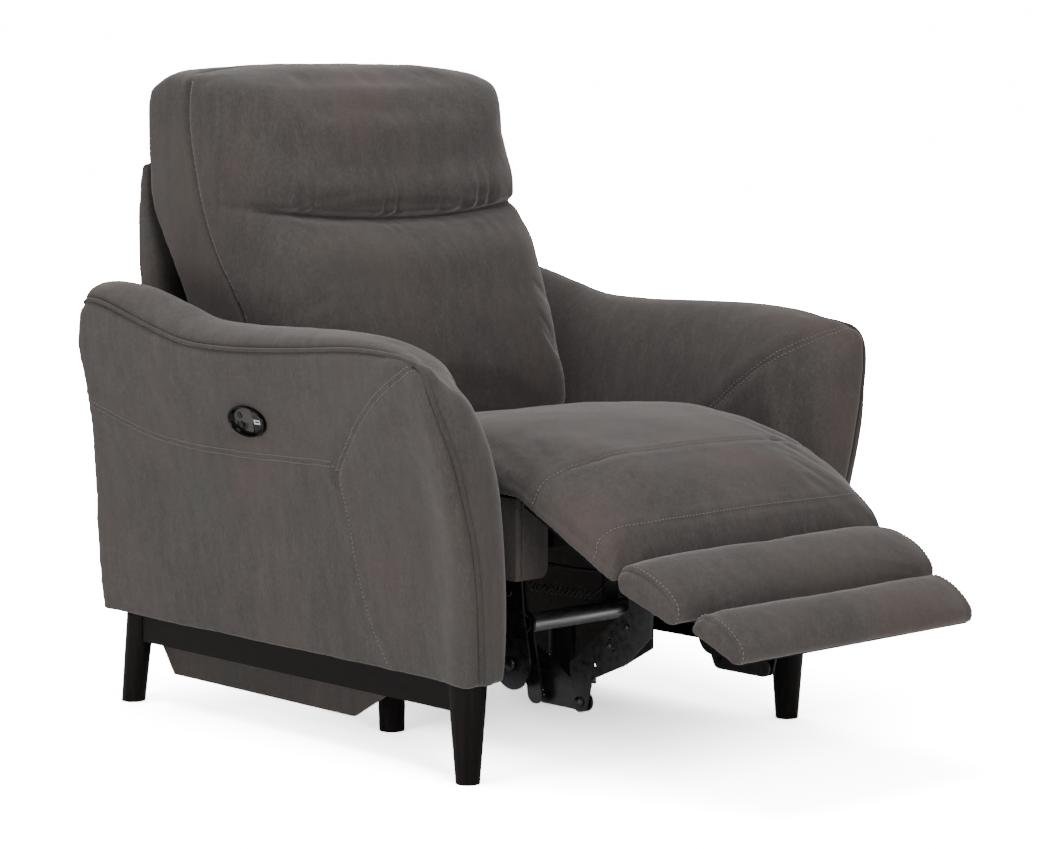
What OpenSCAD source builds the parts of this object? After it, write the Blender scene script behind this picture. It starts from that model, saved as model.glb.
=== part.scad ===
// Powered recliner armchair, shown with the leg rest out and the back upright.
// Units are millimetres. The chair faces -Y, +X is the sitter's left, +Z is up.
// The origin is on the floor under the middle of the chair.

/* [Overall] */
// Width over the tops of the arms
overall_width = 930; // [920:5:940]
// Clear width between the arms
inner_width = 620; // [616:2:624]
// Distance between the front and rear leg centres
wheelbase = 823; // [815:1:830]
// Width between the centres of the left and right legs
leg_track = 684; // [680:2:688]

/* [Legs] */
// Height of a leg
leg_height = 148; // [146:1:150]
// Diameter of a front leg at its top
front_leg_top = 58; // [52:1:60]
// Diameter of a front leg at the floor
front_leg_foot = 36; // [32:1:42]
// Diameter of a rear leg at its top
rear_leg_top = 46; // [42:1:50]
// Diameter of a rear leg at the floor
rear_leg_foot = 38; // [32:1:42]
// Rearward lean of a rear leg, in degrees
rear_leg_lean = 9; // [6:1:10]

/* [Leg rest] */
// Width of the first pad
legrest_width = 572; // [560:2:580]
// Width of the middle pad
mid_width = 560; // [550:2:570]
// Width of the end pad
end_width = 508; // [500:2:512]
// Thickness of the boards under the pads
board = 8; // [6:1:9]

/* [Mechanism] */
// Thickness of the steel plates and links
plate = 4; // [3:0.5:4.5]
// Diameter of the main pivots
pivot_d = 10; // [8:1:11]
// Diameter of the torque tube
torque_tube_d = 28; // [24:1:30]

/* [Switch] */
// Length of the switch bezel
switch_length = 88; // [84:1:92]
// Height of the switch bezel
switch_height = 50; // [48:1:54]
// Diameter of a push button
button_d = 10; // [8:1:11]

/* [Hidden] */
$fn = 48;

// Clearances
running = 0.05;
soft_gap = 1;
loose = 2;
eps = 0.01;
glue = 0.1;

// Distance from the front legs back to the middle of the chair with the leg rest out
middle_y = 205;

// Planes across the chair, as distances from its middle
arm_inner_x = inner_width / 2;
arm_outer_x = overall_width / 2;
arm_foot_x = arm_inner_x + 60;
leg_x = leg_track / 2;
rear_leg_y = wheelbase - leg_height * tan(rear_leg_lean);

// Layers of the mechanism on each side, from the middle outwards
link_x = 188;
bracket_x = 192.5;
plate_x = 198;
crank_x = 203;
seat_plate_x = 208;
seat_box_x = 214;
seat_box_outer_x = 278;

// Pivots of the leg rest, as [y, z]
hinge = [-30, 400];
elbow = [-87, 113];
crank_offset = [90, 0];
crank_top = hinge + crank_offset;
crank_foot = elbow + crank_offset;
mid_hinge = [-237, 300];
end_hinge = [-351, 252];
back_pivot = [575, 388];

// Heights
apron_bottom = 105;
apron_top = leg_height;
arm_bottom = leg_height;
seat_frame_bottom = 292;
seat_frame_top = 412;

// Switch on the outside of the right arm
switch_centre = [-434.5, 389, 504];
switch_lean = 15;
switch_sink = 8;
switch_proud = 4;
well_offset = 19;
well_d = 34;
button_pitch = 15;

// ---------- helpers ----------

// Points along a quadratic curve from a to c that is pulled towards b
function bend(a, b, c, steps = 6) = [
    for (i = [0 : steps])
        let (t = i / steps)
        (1 - t) * (1 - t) * a + 2 * t * (1 - t) * b + t * t * c
];

// A point given along and above a sloping pad, whose underside starts at origin
function on_slope(origin, slope, along, above) =
    origin + along * [-cos(slope), -sin(slope)] + above * [-sin(slope), cos(slope)];

// Puts the chair's middle at the origin
module place() {
    translate([0, -middle_y, 0])
        children();
}

// Draws a piece made for the sitter's left on the left or on the right
module on_side(side) {
    if (side == "r")
        mirror([1, 0, 0])
            children();
    else
        children();
}

module both_sides() {
    on_side("l")
        children();
    on_side("r")
        children();
}

// A side profile in [y, z], extruded across the chair from x0 to x1
module across(x0, x1) {
    translate([x0, 0, 0])
        rotate([90, 0, 90])
            linear_extrude(x1 - x0)
                children();
}

// A front section in [x, z], extruded along the chair from y0 to y1
module along(y0, y1) {
    translate([0, y1, 0])
        rotate([90, 0, 0])
            linear_extrude(y1 - y0)
                children();
}

// A round rod across the chair at the point p
module rod(p, d, x0, x1) {
    translate([x0, p[0], p[1]])
        rotate([0, 90, 0])
            cylinder(h = x1 - x0, d = d);
}

// A flat bar with round ends, as a 2-D outline
module bar(p, q, r) {
    run = q - p;
    side_step = r * [-run[1], run[0]] / norm(run);
    translate(p)
        circle(r);
    translate(q)
        circle(r);
    polygon([p + side_step, q + side_step, q - side_step, p - side_step]);
}

// A stadium outline, round at both ends of its long Y axis
module stadium(length, width) {
    straight = (length - width) / 2;
    square([width, 2 * straight], center = true);
    for (end = [-straight, straight])
        translate([0, end])
            circle(d = width);
}

// ---------- legs and base ----------

module front_leg() {
    color("#2a201c")
        translate([leg_x, 0, 0])
            cylinder(h = leg_height, d1 = front_leg_foot, d2 = front_leg_top);
}

module rear_leg() {
    spare = 20;
    color("#2a201c")
        intersection() {
            translate([leg_x, wheelbase, 0])
                rotate([rear_leg_lean, 0, 0])
                    translate([0, 0, -spare])
                        cylinder(h = leg_height + 2 * spare, d1 = rear_leg_foot, d2 = rear_leg_top);
            translate([leg_x - spare * 2, rear_leg_y - spare * 3, 0])
                cube([spare * 4, spare * 8, leg_height]);
        }
}

centre_leg_x = 184;
centre_leg_y = 355;
cross_plate_z = 128;
cross_plate_height = 12;
cross_plate_depth = 60;

module centre_leg() {
    color("#2a201c")
        translate([centre_leg_x, centre_leg_y, 0])
            cylinder(h = cross_plate_z, d1 = 40, d2 = 45);
}

apron_thickness = 24;

module side_apron() {
    rail_length = rear_leg_y;
    color("#2a201c")
        difference() {
            translate([leg_x - apron_thickness / 2, 0, apron_bottom])
                cube([apron_thickness, rail_length, apron_top - apron_bottom]);
            leg_sockets();
        }
}

// Space that the four corner legs take out of the aprons
module leg_sockets() {
    both_sides() {
        translate([leg_x, 0, 0])
            cylinder(h = leg_height * 2, d = front_leg_top);
        translate([leg_x, rear_leg_y, 0])
            cylinder(h = leg_height * 2, d = rear_leg_top + 6);
    }
}

module rear_apron() {
    color("#2a201c")
        difference() {
            translate([-leg_x, rear_leg_y - apron_thickness / 2, apron_bottom])
                cube([2 * leg_x, apron_thickness, apron_top - apron_bottom]);
            leg_sockets();
            power_inlet_body();
        }
}

// Steel channel that ties the side aprons together and carries the centre legs
module centre_cross_plate() {
    half = leg_x - apron_thickness / 2;
    color("#1c1d20")
        translate([-half, centre_leg_y - cross_plate_depth / 2, cross_plate_z])
            difference() {
                cube([2 * half, cross_plate_depth, cross_plate_height]);
                translate([-eps, plate, plate])
                    cube([2 * half + 1, cross_plate_depth - 2 * plate, cross_plate_height]);
            }
}

// ---------- power inlet, under the rear apron ----------

inlet_x = 120;
inlet_d = 16;

module power_inlet_body() {
    translate([inlet_x, rear_leg_y + apron_thickness / 2 + 3, apron_bottom + 22])
        rotate([90, 0, 0])
            cylinder(h = apron_thickness + 6, d = inlet_d);
}

module power_inlet() {
    socket_d = 8;
    pin_d = 2;
    color("#141416")
        difference() {
            power_inlet_body();
            translate([inlet_x, rear_leg_y + apron_thickness, apron_bottom + 22])
                rotate([90, 0, 0])
                    cylinder(h = apron_thickness, d = socket_d);
        }
    color("#b9babd")
        translate([inlet_x, rear_leg_y + apron_thickness / 2, apron_bottom + 22])
            rotate([90, 0, 0])
                cylinder(h = apron_thickness / 2 + eps, d = pin_d);
}

// ---------- arms ----------

// Outline of an arm from the side
arm_side_outline = concat(
    [[-40, arm_bottom]],
    bend([-68, 330], [-80, 560], [-52, 630]),
    bend([-40, 648], [120, 668], [400, 640]),
    bend([500, 640], [620, 650], [700, 684]),
    bend([760, 696], [822, 690], [822, 655]),
    [[849, 351], [874, arm_bottom]]
);

// Outline of an arm from the front: it flares out and rolls over the top to the inside
arm_front_outline = concat(
    [[arm_inner_x, arm_bottom]],
    bend([arm_foot_x, arm_bottom], [arm_foot_x + 35, 420], [arm_outer_x, 610]),
    bend([arm_outer_x, 640], [arm_outer_x - 20, 700], [arm_outer_x - 65, 700]),
    bend([arm_outer_x - 65, 700], [arm_inner_x + 35, 600], [arm_inner_x, 400])
);

arm_panel_x = arm_inner_x + 15;
arm_panel_thickness = 18;
arm_panel_top = 470;
arm_shelf_width = 50;

// Plywood side panel with a shelf along its top under the arm's padding
module arm_frame_shape() {
    across(arm_panel_x, arm_panel_x + arm_panel_thickness)
        polygon([
            [0, arm_bottom], [0, arm_panel_top],
            [760, arm_panel_top], [rear_leg_y, arm_bottom]
        ]);
    across(arm_panel_x + arm_panel_thickness - eps, arm_panel_x + arm_panel_thickness + arm_shelf_width)
        polygon([
            [20, arm_panel_top - arm_panel_thickness], [740, arm_panel_top - arm_panel_thickness],
            [740, arm_panel_top], [20, arm_panel_top]
        ]);
}

module arm_frame() {
    color("#c8a878")
        arm_frame_shape();
}

module arm_pad(side) {
    color("#5b5856")
        difference() {
            on_side(side)
                intersection() {
                    across(arm_inner_x, arm_outer_x)
                        polygon(arm_side_outline);
                    along(-100, 900)
                        polygon(arm_front_outline);
                }
            on_side(side)
                arm_frame_shape();
            if (side == "r")
                switch_place(-switch_sink)
                    linear_extrude(switch_sink * 3)
                        stadium(switch_length, switch_height);
        }
}

// ---------- switch ----------

// Local frame on the arm's outer face: Z outwards, X up, Y to the rear
module switch_place(lift) {
    translate(switch_centre)
        rotate([0, -(90 + switch_lean), 0])
            translate([0, 0, lift])
                children();
}

usb_y = -23;
usb_size = [7, 14, 8];
bezel_depth = switch_sink + switch_proud;
disc_thickness = 3;

module switch_bezel() {
    rim = 3;
    color("#0b0b0d")
        switch_place(-switch_sink)
            difference() {
                linear_extrude(bezel_depth)
                    stadium(switch_length, switch_height);
                translate([0, 0, bezel_depth - 2])
                    linear_extrude(bezel_depth)
                        stadium(switch_length - 2 * rim, switch_height - 2 * rim);
                translate([0, well_offset, 2])
                    cylinder(h = bezel_depth, d = well_d);
                translate([0, usb_y, bezel_depth - usb_size[2] / 2])
                    cube([usb_size[0], usb_size[1], usb_size[2]], center = true);
            }
}

// Plate in the round well, with a hole for each button
module switch_disc() {
    color("#26262a")
        switch_place(-switch_sink)
            difference() {
                translate([0, well_offset, 4])
                    cylinder(h = disc_thickness, d = well_d);
                for (x = [-button_pitch / 2, button_pitch / 2])
                    translate([x, well_offset, 0])
                        cylinder(h = bezel_depth, d = button_d + 2 * running);
            }
}

module usb_port() {
    slot = [2.4, 11];
    depth = usb_size[2] - 2;
    color("#e8e8e6")
        switch_place(-switch_sink)
            difference() {
                translate([0, usb_y, bezel_depth - usb_size[2] + depth / 2])
                    cube([usb_size[0], usb_size[1], depth], center = true);
                translate([0, usb_y, bezel_depth - usb_size[2] / 2])
                    cube([slot[0], slot[1], usb_size[2] - 2], center = true);
            }
}

module button(position) {
    color("#3a3b40")
        switch_place(-switch_sink)
            translate([position * button_pitch / 2, well_offset, 4])
                cylinder(h = disc_thickness + 2.2, d = button_d);
}

// ---------- glide rails and valances ----------

rail_y0 = 20;
rail_y1 = 690;
rail_z = 236;
rail_drop = 24;
rail_inner_x = 282;

// Steel angle that the seat glides on, fixed to the inside of the arm
module glide_rail() {
    color("#1c1d20") {
        translate([rail_inner_x, rail_y0, rail_z])
            cube([arm_inner_x - rail_inner_x, rail_y1 - rail_y0, plate]);
        translate([arm_inner_x - plate, rail_y0, rail_z - rail_drop])
            cube([plate, rail_y1 - rail_y0, rail_drop]);
    }
}

valance_x = 284;
valance_thickness = 6;

// Fabric-covered board that hides the mechanism under the seat
module side_valance() {
    color("#4c4a49")
        difference() {
            across(valance_x, valance_x + valance_thickness)
                polygon([
                    [248, 84], [321, 42], [781, 42], [rear_leg_y + 12, 85], [790, 160], [660, rail_z],
                    [300, rail_z], [248, 160]
                ]);
            translate([0, centre_leg_y - cross_plate_depth / 2, cross_plate_z])
                cube([leg_x, cross_plate_depth, cross_plate_height]);
            translate([0, rear_leg_y - apron_thickness / 2, apron_bottom])
                cube([leg_x, apron_thickness, apron_top - apron_bottom]);
        }
}

// ---------- seat ----------

seat_front_y = -33;
seat_rear_y = 548;
seat_box_wall = 14;

// Fabric-covered side of the seat, with a return at the front
module seat_box() {
    round_r = 18;
    color("#5b5856") {
        across(seat_box_outer_x - seat_box_wall, seat_box_outer_x)
            polygon([
                [seat_front_y, seat_frame_bottom], [seat_rear_y, seat_frame_bottom],
                [seat_rear_y, seat_frame_top], [seat_front_y, seat_frame_top]
            ]);
        along(seat_front_y, seat_front_y + seat_box_wall)
            polygon(concat(
                [[seat_box_outer_x - eps, seat_frame_top], [seat_box_outer_x - eps, seat_frame_bottom]],
                bend(
                    [seat_box_x + round_r, seat_frame_bottom],
                    [seat_box_x, seat_frame_bottom],
                    [seat_box_x, seat_frame_bottom + round_r]
                ),
                [[seat_box_x, seat_frame_top]]
            ));
    }
}

front_rail_y = -14;
rail_wood = 20;
rear_rail_y = 500;

module seat_front_rail() {
    color("#17181a")
        translate([-link_x + 3, front_rail_y, 330])
            cube([2 * link_x - 6, rail_wood, seat_frame_top - 330]);
}

module seat_rear_rail() {
    half = seat_plate_x;
    color("#c8a878")
        translate([-half, rear_rail_y, 350])
            cube([2 * half, rail_wood, seat_frame_top - 350]);
}

spring_count = 5;
spring_d = 4;

// Zigzag steel springs from the front rail to the rear rail
module seat_springs() {
    pitch = 70;
    start = front_rail_y + rail_wood;
    color("#8b8d92")
        for (i = [0 : spring_count - 1])
            translate([(i - (spring_count - 1) / 2) * pitch, start, seat_frame_top - spring_d])
                zigzag(rear_rail_y - start, 8, 18);
}

// One flat zigzag spring of the given length along Y, with square turns
module zigzag(length, waves, half_wave) {
    step = length / waves;
    for (w = [0 : waves - 1])
        translate([-half_wave, (w + 0.5) * step, 0])
            rotate([0, 90, 0])
                cylinder(h = 2 * half_wave, d = spring_d, $fn = 12);
    for (w = [0 : waves]) {
        from = max(0, w - 0.5) * step;
        to = min(waves, w + 0.5) * step;
        translate([(w % 2 == 0 ? 1 : -1) * half_wave, from, 0])
            rotate([-90, 0, 0])
                cylinder(h = to - from, d = spring_d, $fn = 12);
    }
}

seat_cushion_half = 296;

// Foam seat, crowned across the middle, with its front roll over the leg rest's hinge
seat_cushion_outline = concat(
    [[rear_rail_y + 18, seat_frame_top + loose], [-18, seat_frame_top + loose]],
    bend([-36, 416], [-80, 424], [-76, 452]),
    bend([-74, 476], [-40, 503], [110, 502]),
    bend([220, 501], [330, 488], [425, 462]),
    [[rear_rail_y + 18, 456]]
);

module seat_cushion() {
    color("#5b5856")
        across(-seat_cushion_half, seat_cushion_half)
            polygon(seat_cushion_outline);
}

// Steel plate that carries the leg rest, the back and the glide shoes on one side
module seat_plate() {
    stud = seat_plate_x - link_x;
    color("#1c1d20") {
        across(seat_plate_x, seat_plate_x + plate)
            union() {
                polygon([
                    [hinge[0], hinge[1] + 3], [hinge[0], hinge[1] - 12],
                    [40, 330], [560, 330], [600, 370], [600, 403], [560, 403]
                ]);
                bar(hinge, crank_top, 4);
                translate(hinge)
                    circle(4 + pivot_d / 2);
                translate(back_pivot)
                    circle(5 + pivot_d / 2);
            }
        rod(hinge, pivot_d, plate_x - 1.5, seat_plate_x + eps);
        rod(crank_top, pivot_d, crank_x - 2, seat_plate_x + eps);
        rod(back_pivot, pivot_d, crank_x - 4, seat_plate_x + eps);
    }
}

cross_tube_at = [300, 345];

module seat_cross_tube() {
    color("#1c1d20")
        rod(cross_tube_at, 26, -seat_plate_x, seat_plate_x);
}

shoe_length = 60;

// Blocks under the seat's sides that ride on the glide rails
module glide_shoes() {
    color("#202124")
        both_sides()
            for (y = [130, 560])
                translate([seat_plate_x + plate, y, rail_z + plate + 0.3]) {
                    cube([arm_inner_x - 8 - seat_plate_x - plate, shoe_length, 40]);
                    if (y > 500)
                        translate([0, -40, 40])
                            cube([3, 60, 60]);
                    else
                        translate([0, 0, 40 - eps])
                            cube([3, 60, 60]);
                }
}

// ---------- motor ----------

motor_z = 300;
track_y0 = -12;
track_y1 = 310;
track_width = 36;

// Gearbox and motor at the rear end of the track
module motor_housing() {
    color("#18191b") {
        translate([-35, track_y1, motor_z - 30])
            cube([70, 70, 60]);
        translate([0, track_y1 + 35, motor_z - 30 - 80])
            cylinder(h = 81, d = 56);
        translate([-8, track_y1 + 69, motor_z - 5])
            cube([16, rear_rail_y - track_y1 - 69 + eps, 60]);
    }
}

// Channel with the lead screw inside, open downwards
module motor_track() {
    color("#1c1d20") {
        difference() {
            translate([-track_width / 2, track_y0, motor_z])
                cube([track_width, track_y1 - track_y0, 20]);
            translate([-track_width / 2 + 3, track_y0 + 3, motor_z - 1])
                cube([track_width - 6, track_y1 - track_y0 - 3 + eps, 18]);
        }
        translate([-6, cross_tube_at[0] - 8, motor_z + 20 - eps])
            cube([12, 16, 12]);
    }
    color("#8b8d92")
        translate([0, track_y0 + 3 - eps, motor_z + 8])
            rotate([-90, 0, 0])
                cylinder(h = track_y1 - track_y0 - 3 + 2 * eps, d = 10);
}

yoke_gap = torque_tube_d + 20;
yoke_wall = 7;
yoke_drop = 95;
yoke_offset = 4;

// Nut on the lead screw, with a yoke that straddles the torque tube
module motor_slider() {
    y0 = torque_at[0] + yoke_offset - yoke_gap / 2 - yoke_wall;
    length = yoke_gap + 2 * yoke_wall;
    width = track_width - 8;
    color("#2b2c30")
        difference() {
            union() {
                translate([-width / 2, y0, motor_z - 4])
                    cube([width, length, 20]);
                for (y = [y0, y0 + yoke_gap + yoke_wall])
                    translate([-width / 2, y, motor_z - 4 - yoke_drop])
                        cube([width, yoke_wall, yoke_drop + 1]);
            }
            translate([0, y0 - 1, motor_z + 8])
                rotate([-90, 0, 0])
                    cylinder(h = length + 2, d = 10 + 2 * running);
        }
}

// ---------- back ----------

back_half = 297;
back_cushion_half = 294;
back_rear_slope = 24.5;
back_slope_foot = [650, 476];

// Front and rear of the lower back cushion, from the seat up to the tuck below the head
back_cushion_outline = concat(
    bend([436, 466], [420, 560], [478, 664]),
    [[545, 786], [575, 801]],
    [[803, 801], [782, 763], [731, 663], back_slope_foot]
);

head_cushion_outline = concat(
    [[575, 803]],
    bend([553, 830], [560, 900], [578, 935]),
    bend([590, 975], [604, 1000], [650, 1018]),
    bend([690, 1034], [745, 1036], [790, 1008]),
    bend([812, 990], [812, 884], [804, 803])
);

// Strip along the rear face of the lower cushion where the frame lies
stile_depth = 24;
stile_width = 45;

function back_slope_y(z) = back_slope_foot[0] + (z - back_slope_foot[1]) * tan(back_rear_slope);

module back_slope_strip(z0, z1) {
    polygon([
        [back_slope_y(z0) - stile_depth, z0], [back_slope_y(z0), z0],
        [back_slope_y(z1), z1], [back_slope_y(z1) - stile_depth, z1]
    ]);
}

back_frame_bottom = 480;
back_frame_top = 790;

module back_stile() {
    color("#c8a878")
        across(back_half - 60 - stile_width, back_half - 60)
            back_slope_strip(back_frame_bottom, back_frame_top);
}

module back_rails() {
    half = back_half - 60 - stile_width;
    color("#c8a878") {
        across(-half, half)
            back_slope_strip(back_frame_bottom, back_frame_bottom + 50);
        across(-half, half)
            back_slope_strip(back_frame_top - 50, back_frame_top);
    }
}

// Zigzag steel springs between the back's rails
module back_springs() {
    count = 4;
    pitch = 88;
    z0 = back_frame_bottom + 50;
    z1 = back_frame_top - 50;
    color("#8b8d92")
        for (i = [0 : count - 1])
            translate([(i - (count - 1) / 2) * pitch, back_slope_y(z0) - stile_depth / 2, z0])
                rotate([90 - back_rear_slope, 0, 0])
                    zigzag((z1 - z0) / cos(back_rear_slope), 6, 24);
}

module back_frame_space() {
    across(-back_half + 60, back_half - 60)
        back_slope_strip(back_frame_bottom - eps, back_frame_top);
}

module back_cushion() {
    color("#5b5856")
        difference() {
            across(-back_cushion_half, back_cushion_half)
                polygon(back_cushion_outline);
            back_frame_space();
        }
}

module head_cushion() {
    color("#5b5856")
        across(-back_cushion_half, back_cushion_half)
            polygon(head_cushion_outline);
}

back_panel_bottom = 300;

// Padded outer panel behind the cushions, leaving a wedge between them that widens downwards
module back_panel() {
    half = 296;
    foot_half = 272;
    taper_top = 640;
    corner = 60;
    color("#4c4a49")
        intersection() {
            across(-half, half)
                polygon(concat(
                    [[760, back_panel_bottom], [784, back_panel_bottom], [822, 681], [838, 753]],
                    bend([848, 835], [850, 872], [824, 872]),
                    [[812, 860], [812, 803 + soft_gap]]
                ));
            along(700, 900)
                polygon(concat(
                    [[-half, taper_top], [-foot_half, back_panel_bottom]],
                    [[foot_half, back_panel_bottom], [half, taper_top]],
                    bend([half, 872 - corner], [half, 872], [half - corner, 872]),
                    bend([corner - half, 872], [-half, 872], [-half, 872 - corner])
                ));
        }
}

// Steel arms from the back's stiles down to the pivots
module back_brackets() {
    x = crank_x - 4;
    color("#1c1d20")
        both_sides() {
            difference() {
                across(x + plate / 2, x + plate / 2 + plate)
                    union() {
                        bar(back_pivot, [650, 462], 11);
                        polygon([
                            [back_slope_y(462), 462], [back_slope_y(462) + 24, 462],
                            [back_slope_y(700) + 20, 700], [back_slope_y(700), 700]
                        ]);
                    }
                rod(back_pivot, pivot_d + 2 * running, 0, 400);
            }
        }
}

// ---------- leg rest ----------

legrest_slope = atan((hinge[1] - mid_hinge[1]) / (hinge[0] - mid_hinge[0]));
legrest_length = 222;
board_lift = 9;

function on_legrest(along, above) = on_slope(hinge, legrest_slope, along, above);

module legrest_board() {
    half = legrest_width / 2 - 12;
    color("#c8a878")
        across(-half, half)
            polygon([
                on_legrest(14, board_lift), on_legrest(legrest_length, board_lift),
                on_legrest(legrest_length, board_lift + board), on_legrest(14, board_lift + board)
            ]);
}

// Padding between the seat and the middle pad
module legrest_pad() {
    top = board_lift + board + glue;
    color("#5b5856")
        across(-legrest_width / 2, legrest_width / 2)
            polygon(concat(
                [on_legrest(48, top), on_legrest(legrest_length, top)],
                bend(on_legrest(legrest_length + 2, top + 8), [-246, 352], [-226, 382]),
                bend([-190, 424], [-150, 462], [-84, 481]),
                [[-79, 478]]
            ));
}

plate_outline = [
    elbow + [14, 0], [-66, 169], [-190, 265], [-172, 326],
    on_legrest(legrest_length - 4, 0), [-236, 288], [-231, 226], [-182, 181], [-112, 150], elbow - [15, 0]
];

// Bent steel plate from the elbow up to the boards, with a bar back to the hinge
module legrest_plate() {
    color("#1c1d20") {
        difference() {
            across(plate_x, plate_x + plate)
                union() {
                    polygon(plate_outline);
                    translate(elbow)
                        circle(15);
                    bar(hinge, mid_hinge, board_lift - 0.5);
                }
            rod(hinge, pivot_d + 2 * running, 0, 400);
            for (p = [[-150, 215], [-158, 200], [-118, 172]])
                rod(p, 6, 0, 400);
        }
        rod(elbow, pivot_d, link_x - 1, plate_x + eps);
        rod(mid_hinge, pivot_d, bracket_x - 1, plate_x + eps);
    }
}

// Round tube that joins the two bent plates
module legrest_cross_tube() {
    color("#1c1d20")
        rod([-208, 262], 20, -plate_x, plate_x);
}

// ---------- middle and end pads ----------

mid_origin = [-244, 300];
mid_slope = 17;
mid_length = 106;
end_origin = [-377, 254];
end_slope = 25.5;
end_length = 76;

function on_mid(along, above) = on_slope(mid_origin, mid_slope, along, above);
function on_end(along, above) = on_slope(end_origin, end_slope, along, above);

module mid_board() {
    half = mid_width / 2 - 12;
    color("#c8a878")
        across(-half, half)
            polygon([on_mid(2, 0), on_mid(mid_length, 0), on_mid(mid_length, board), on_mid(2, board)]);
}

module mid_pad() {
    color("#5b5856")
        across(-mid_width / 2, mid_width / 2)
            polygon(concat(
                [on_mid(0, board + glue), on_mid(mid_length, board + glue)],
                bend(on_mid(mid_length + 5, board + 6), on_mid(mid_length + 8, 34), on_mid(84, 48)),
                bend(on_mid(56, 60), on_mid(18, 60), on_mid(0, 48)),
                [on_mid(-3, 24)]
            ));
}

module mid_brackets() {
    color("#1c1d20")
        both_sides() {
            difference() {
                across(bracket_x, bracket_x + plate)
                    union() {
                        polygon([mid_hinge, on_mid(2, 0), on_mid(mid_length, 0), end_hinge]);
                        bar(mid_hinge - [0, 2], end_hinge, 8);
                    }
                rod(mid_hinge, pivot_d + 2 * running, 0, 400);
                across(0, 400)
                    polygon([
                        on_mid(0, 0), on_mid(mid_length + 20, 0),
                        on_mid(mid_length + 20, 20), on_mid(0, 20)
                    ]);
            }
            rod(end_hinge, 8, bracket_x + 1, bracket_x + 10);
        }
}

module end_board() {
    half = end_width / 2 - 12;
    color("#c8a878")
        across(-half, half)
            polygon([
                on_end(2, 0), on_end(end_length - 2, 0),
                on_end(end_length - 2, board), on_end(2, board)
            ]);
}

module end_pad() {
    color("#5b5856")
        across(-end_width / 2, end_width / 2)
            polygon(concat(
                [on_end(0, board + glue), on_end(end_length, board + glue)],
                bend(on_end(end_length + 8, board + 6), on_end(end_length + 8, 28), on_end(62, 36)),
                bend(on_end(40, 42), on_end(12, 42), on_end(0, 34)),
                [on_end(-4, 22)]
            ));
}

module end_straps() {
    x = bracket_x + plate + 1;
    color("#1c1d20")
        both_sides()
            difference() {
                across(x, x + plate)
                    union() {
                        translate(end_hinge)
                            circle(8);
                        polygon([
                            end_hinge + [0, 8], end_hinge - [0, 8], [-400, 231],
                            on_end(45, 0), on_end(2, 0)
                        ]);
                    }
                rod(end_hinge, 8 + 2 * running, 0, 400);
            }
}

// ---------- cranks, torque tube and drag links ----------

torque_at = [24, 215];

module cranks() {
    color("#1c1d20")
        both_sides() {
            difference() {
                across(crank_x, crank_x + plate)
                    union() {
                        bar(crank_top, torque_at, 11);
                        bar(torque_at, crank_foot, 15);
                        translate(torque_at)
                            circle(torque_tube_d / 2 + 6);
                    }
                rod(crank_top, pivot_d + 2 * running, 0, 400);
                rod(torque_at, torque_tube_d, 0, 400);
            }
            rod(crank_foot, pivot_d - 4, link_x - 1, crank_x + eps);
        }
}

module torque_tube() {
    color("#26272b")
        difference() {
            rod(torque_at, torque_tube_d, -crank_x - plate, crank_x + plate);
            rod(torque_at, torque_tube_d - 5, -400, 400);
        }
}

// Links between the elbows and the feet of the cranks
module drag_links() {
    lobe = crank_foot + [15, 37];
    color("#1c1d20")
        both_sides()
            difference() {
                across(link_x, link_x + plate)
                    union() {
                        bar(elbow, crank_foot, 15);
                        bar(crank_foot, lobe, 15);
                        translate(lobe)
                            circle(32);
                        polygon([elbow + [0, 15], lobe + [-14, 28], lobe, crank_foot]);
                    }
                rod(elbow, pivot_d + 2 * running, 0, 400);
                rod(crank_foot, pivot_d - 4 + 2 * loose, 0, 400);
            }
}

// ---------- nodes ----------

place() on_side("r") front_leg();  // front_leg_r
place() on_side("l") front_leg();  // front_leg_l
place() on_side("r") rear_leg();  // rear_leg_r
place() on_side("l") rear_leg();  // rear_leg_l
place() on_side("r") centre_leg();  // centre_leg_r
place() on_side("l") centre_leg();  // centre_leg_l
place() on_side("r") side_apron();  // side_apron_r
place() on_side("l") side_apron();  // side_apron_l
place() rear_apron();
place() centre_cross_plate();
place() on_side("r") arm_frame();  // arm_frame_r
place() on_side("l") arm_frame();  // arm_frame_l
place() arm_pad("r");  // arm_pad_r
place() arm_pad("l");  // arm_pad_l
place() on_side("r") glide_rail();  // glide_rail_r
place() on_side("l") glide_rail();  // glide_rail_l
place() on_side("r") side_valance();  // side_valance_r
place() on_side("l") side_valance();  // side_valance_l
place() power_inlet();
place() switch_bezel();
place() switch_disc();
place() usb_port();
place() on_side("r") seat_box();  // seat_box_r
place() on_side("l") seat_box();  // seat_box_l
place() seat_front_rail();
place() seat_rear_rail();
place() seat_springs();
place() seat_cushion();
place() on_side("r") seat_plate();  // seat_plate_r
place() on_side("l") seat_plate();  // seat_plate_l
place() seat_cross_tube();
place() glide_shoes();
place() motor_housing();
place() motor_track();
place() on_side("r") back_stile();  // back_stile_r
place() on_side("l") back_stile();  // back_stile_l
place() back_rails();
place() back_springs();
place() back_cushion();
place() head_cushion();
place() back_panel();
place() back_brackets();
place() legrest_board();
place() legrest_pad();
place() on_side("r") legrest_plate();  // legrest_plate_r
place() on_side("l") legrest_plate();  // legrest_plate_l
place() legrest_cross_tube();
place() mid_board();
place() mid_pad();
place() mid_brackets();
place() end_board();
place() end_pad();
place() end_straps();
place() cranks();
place() torque_tube();
place() drag_links();
place() motor_slider();
place() button(1);  // button_open
place() button(-1);  // button_close
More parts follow.
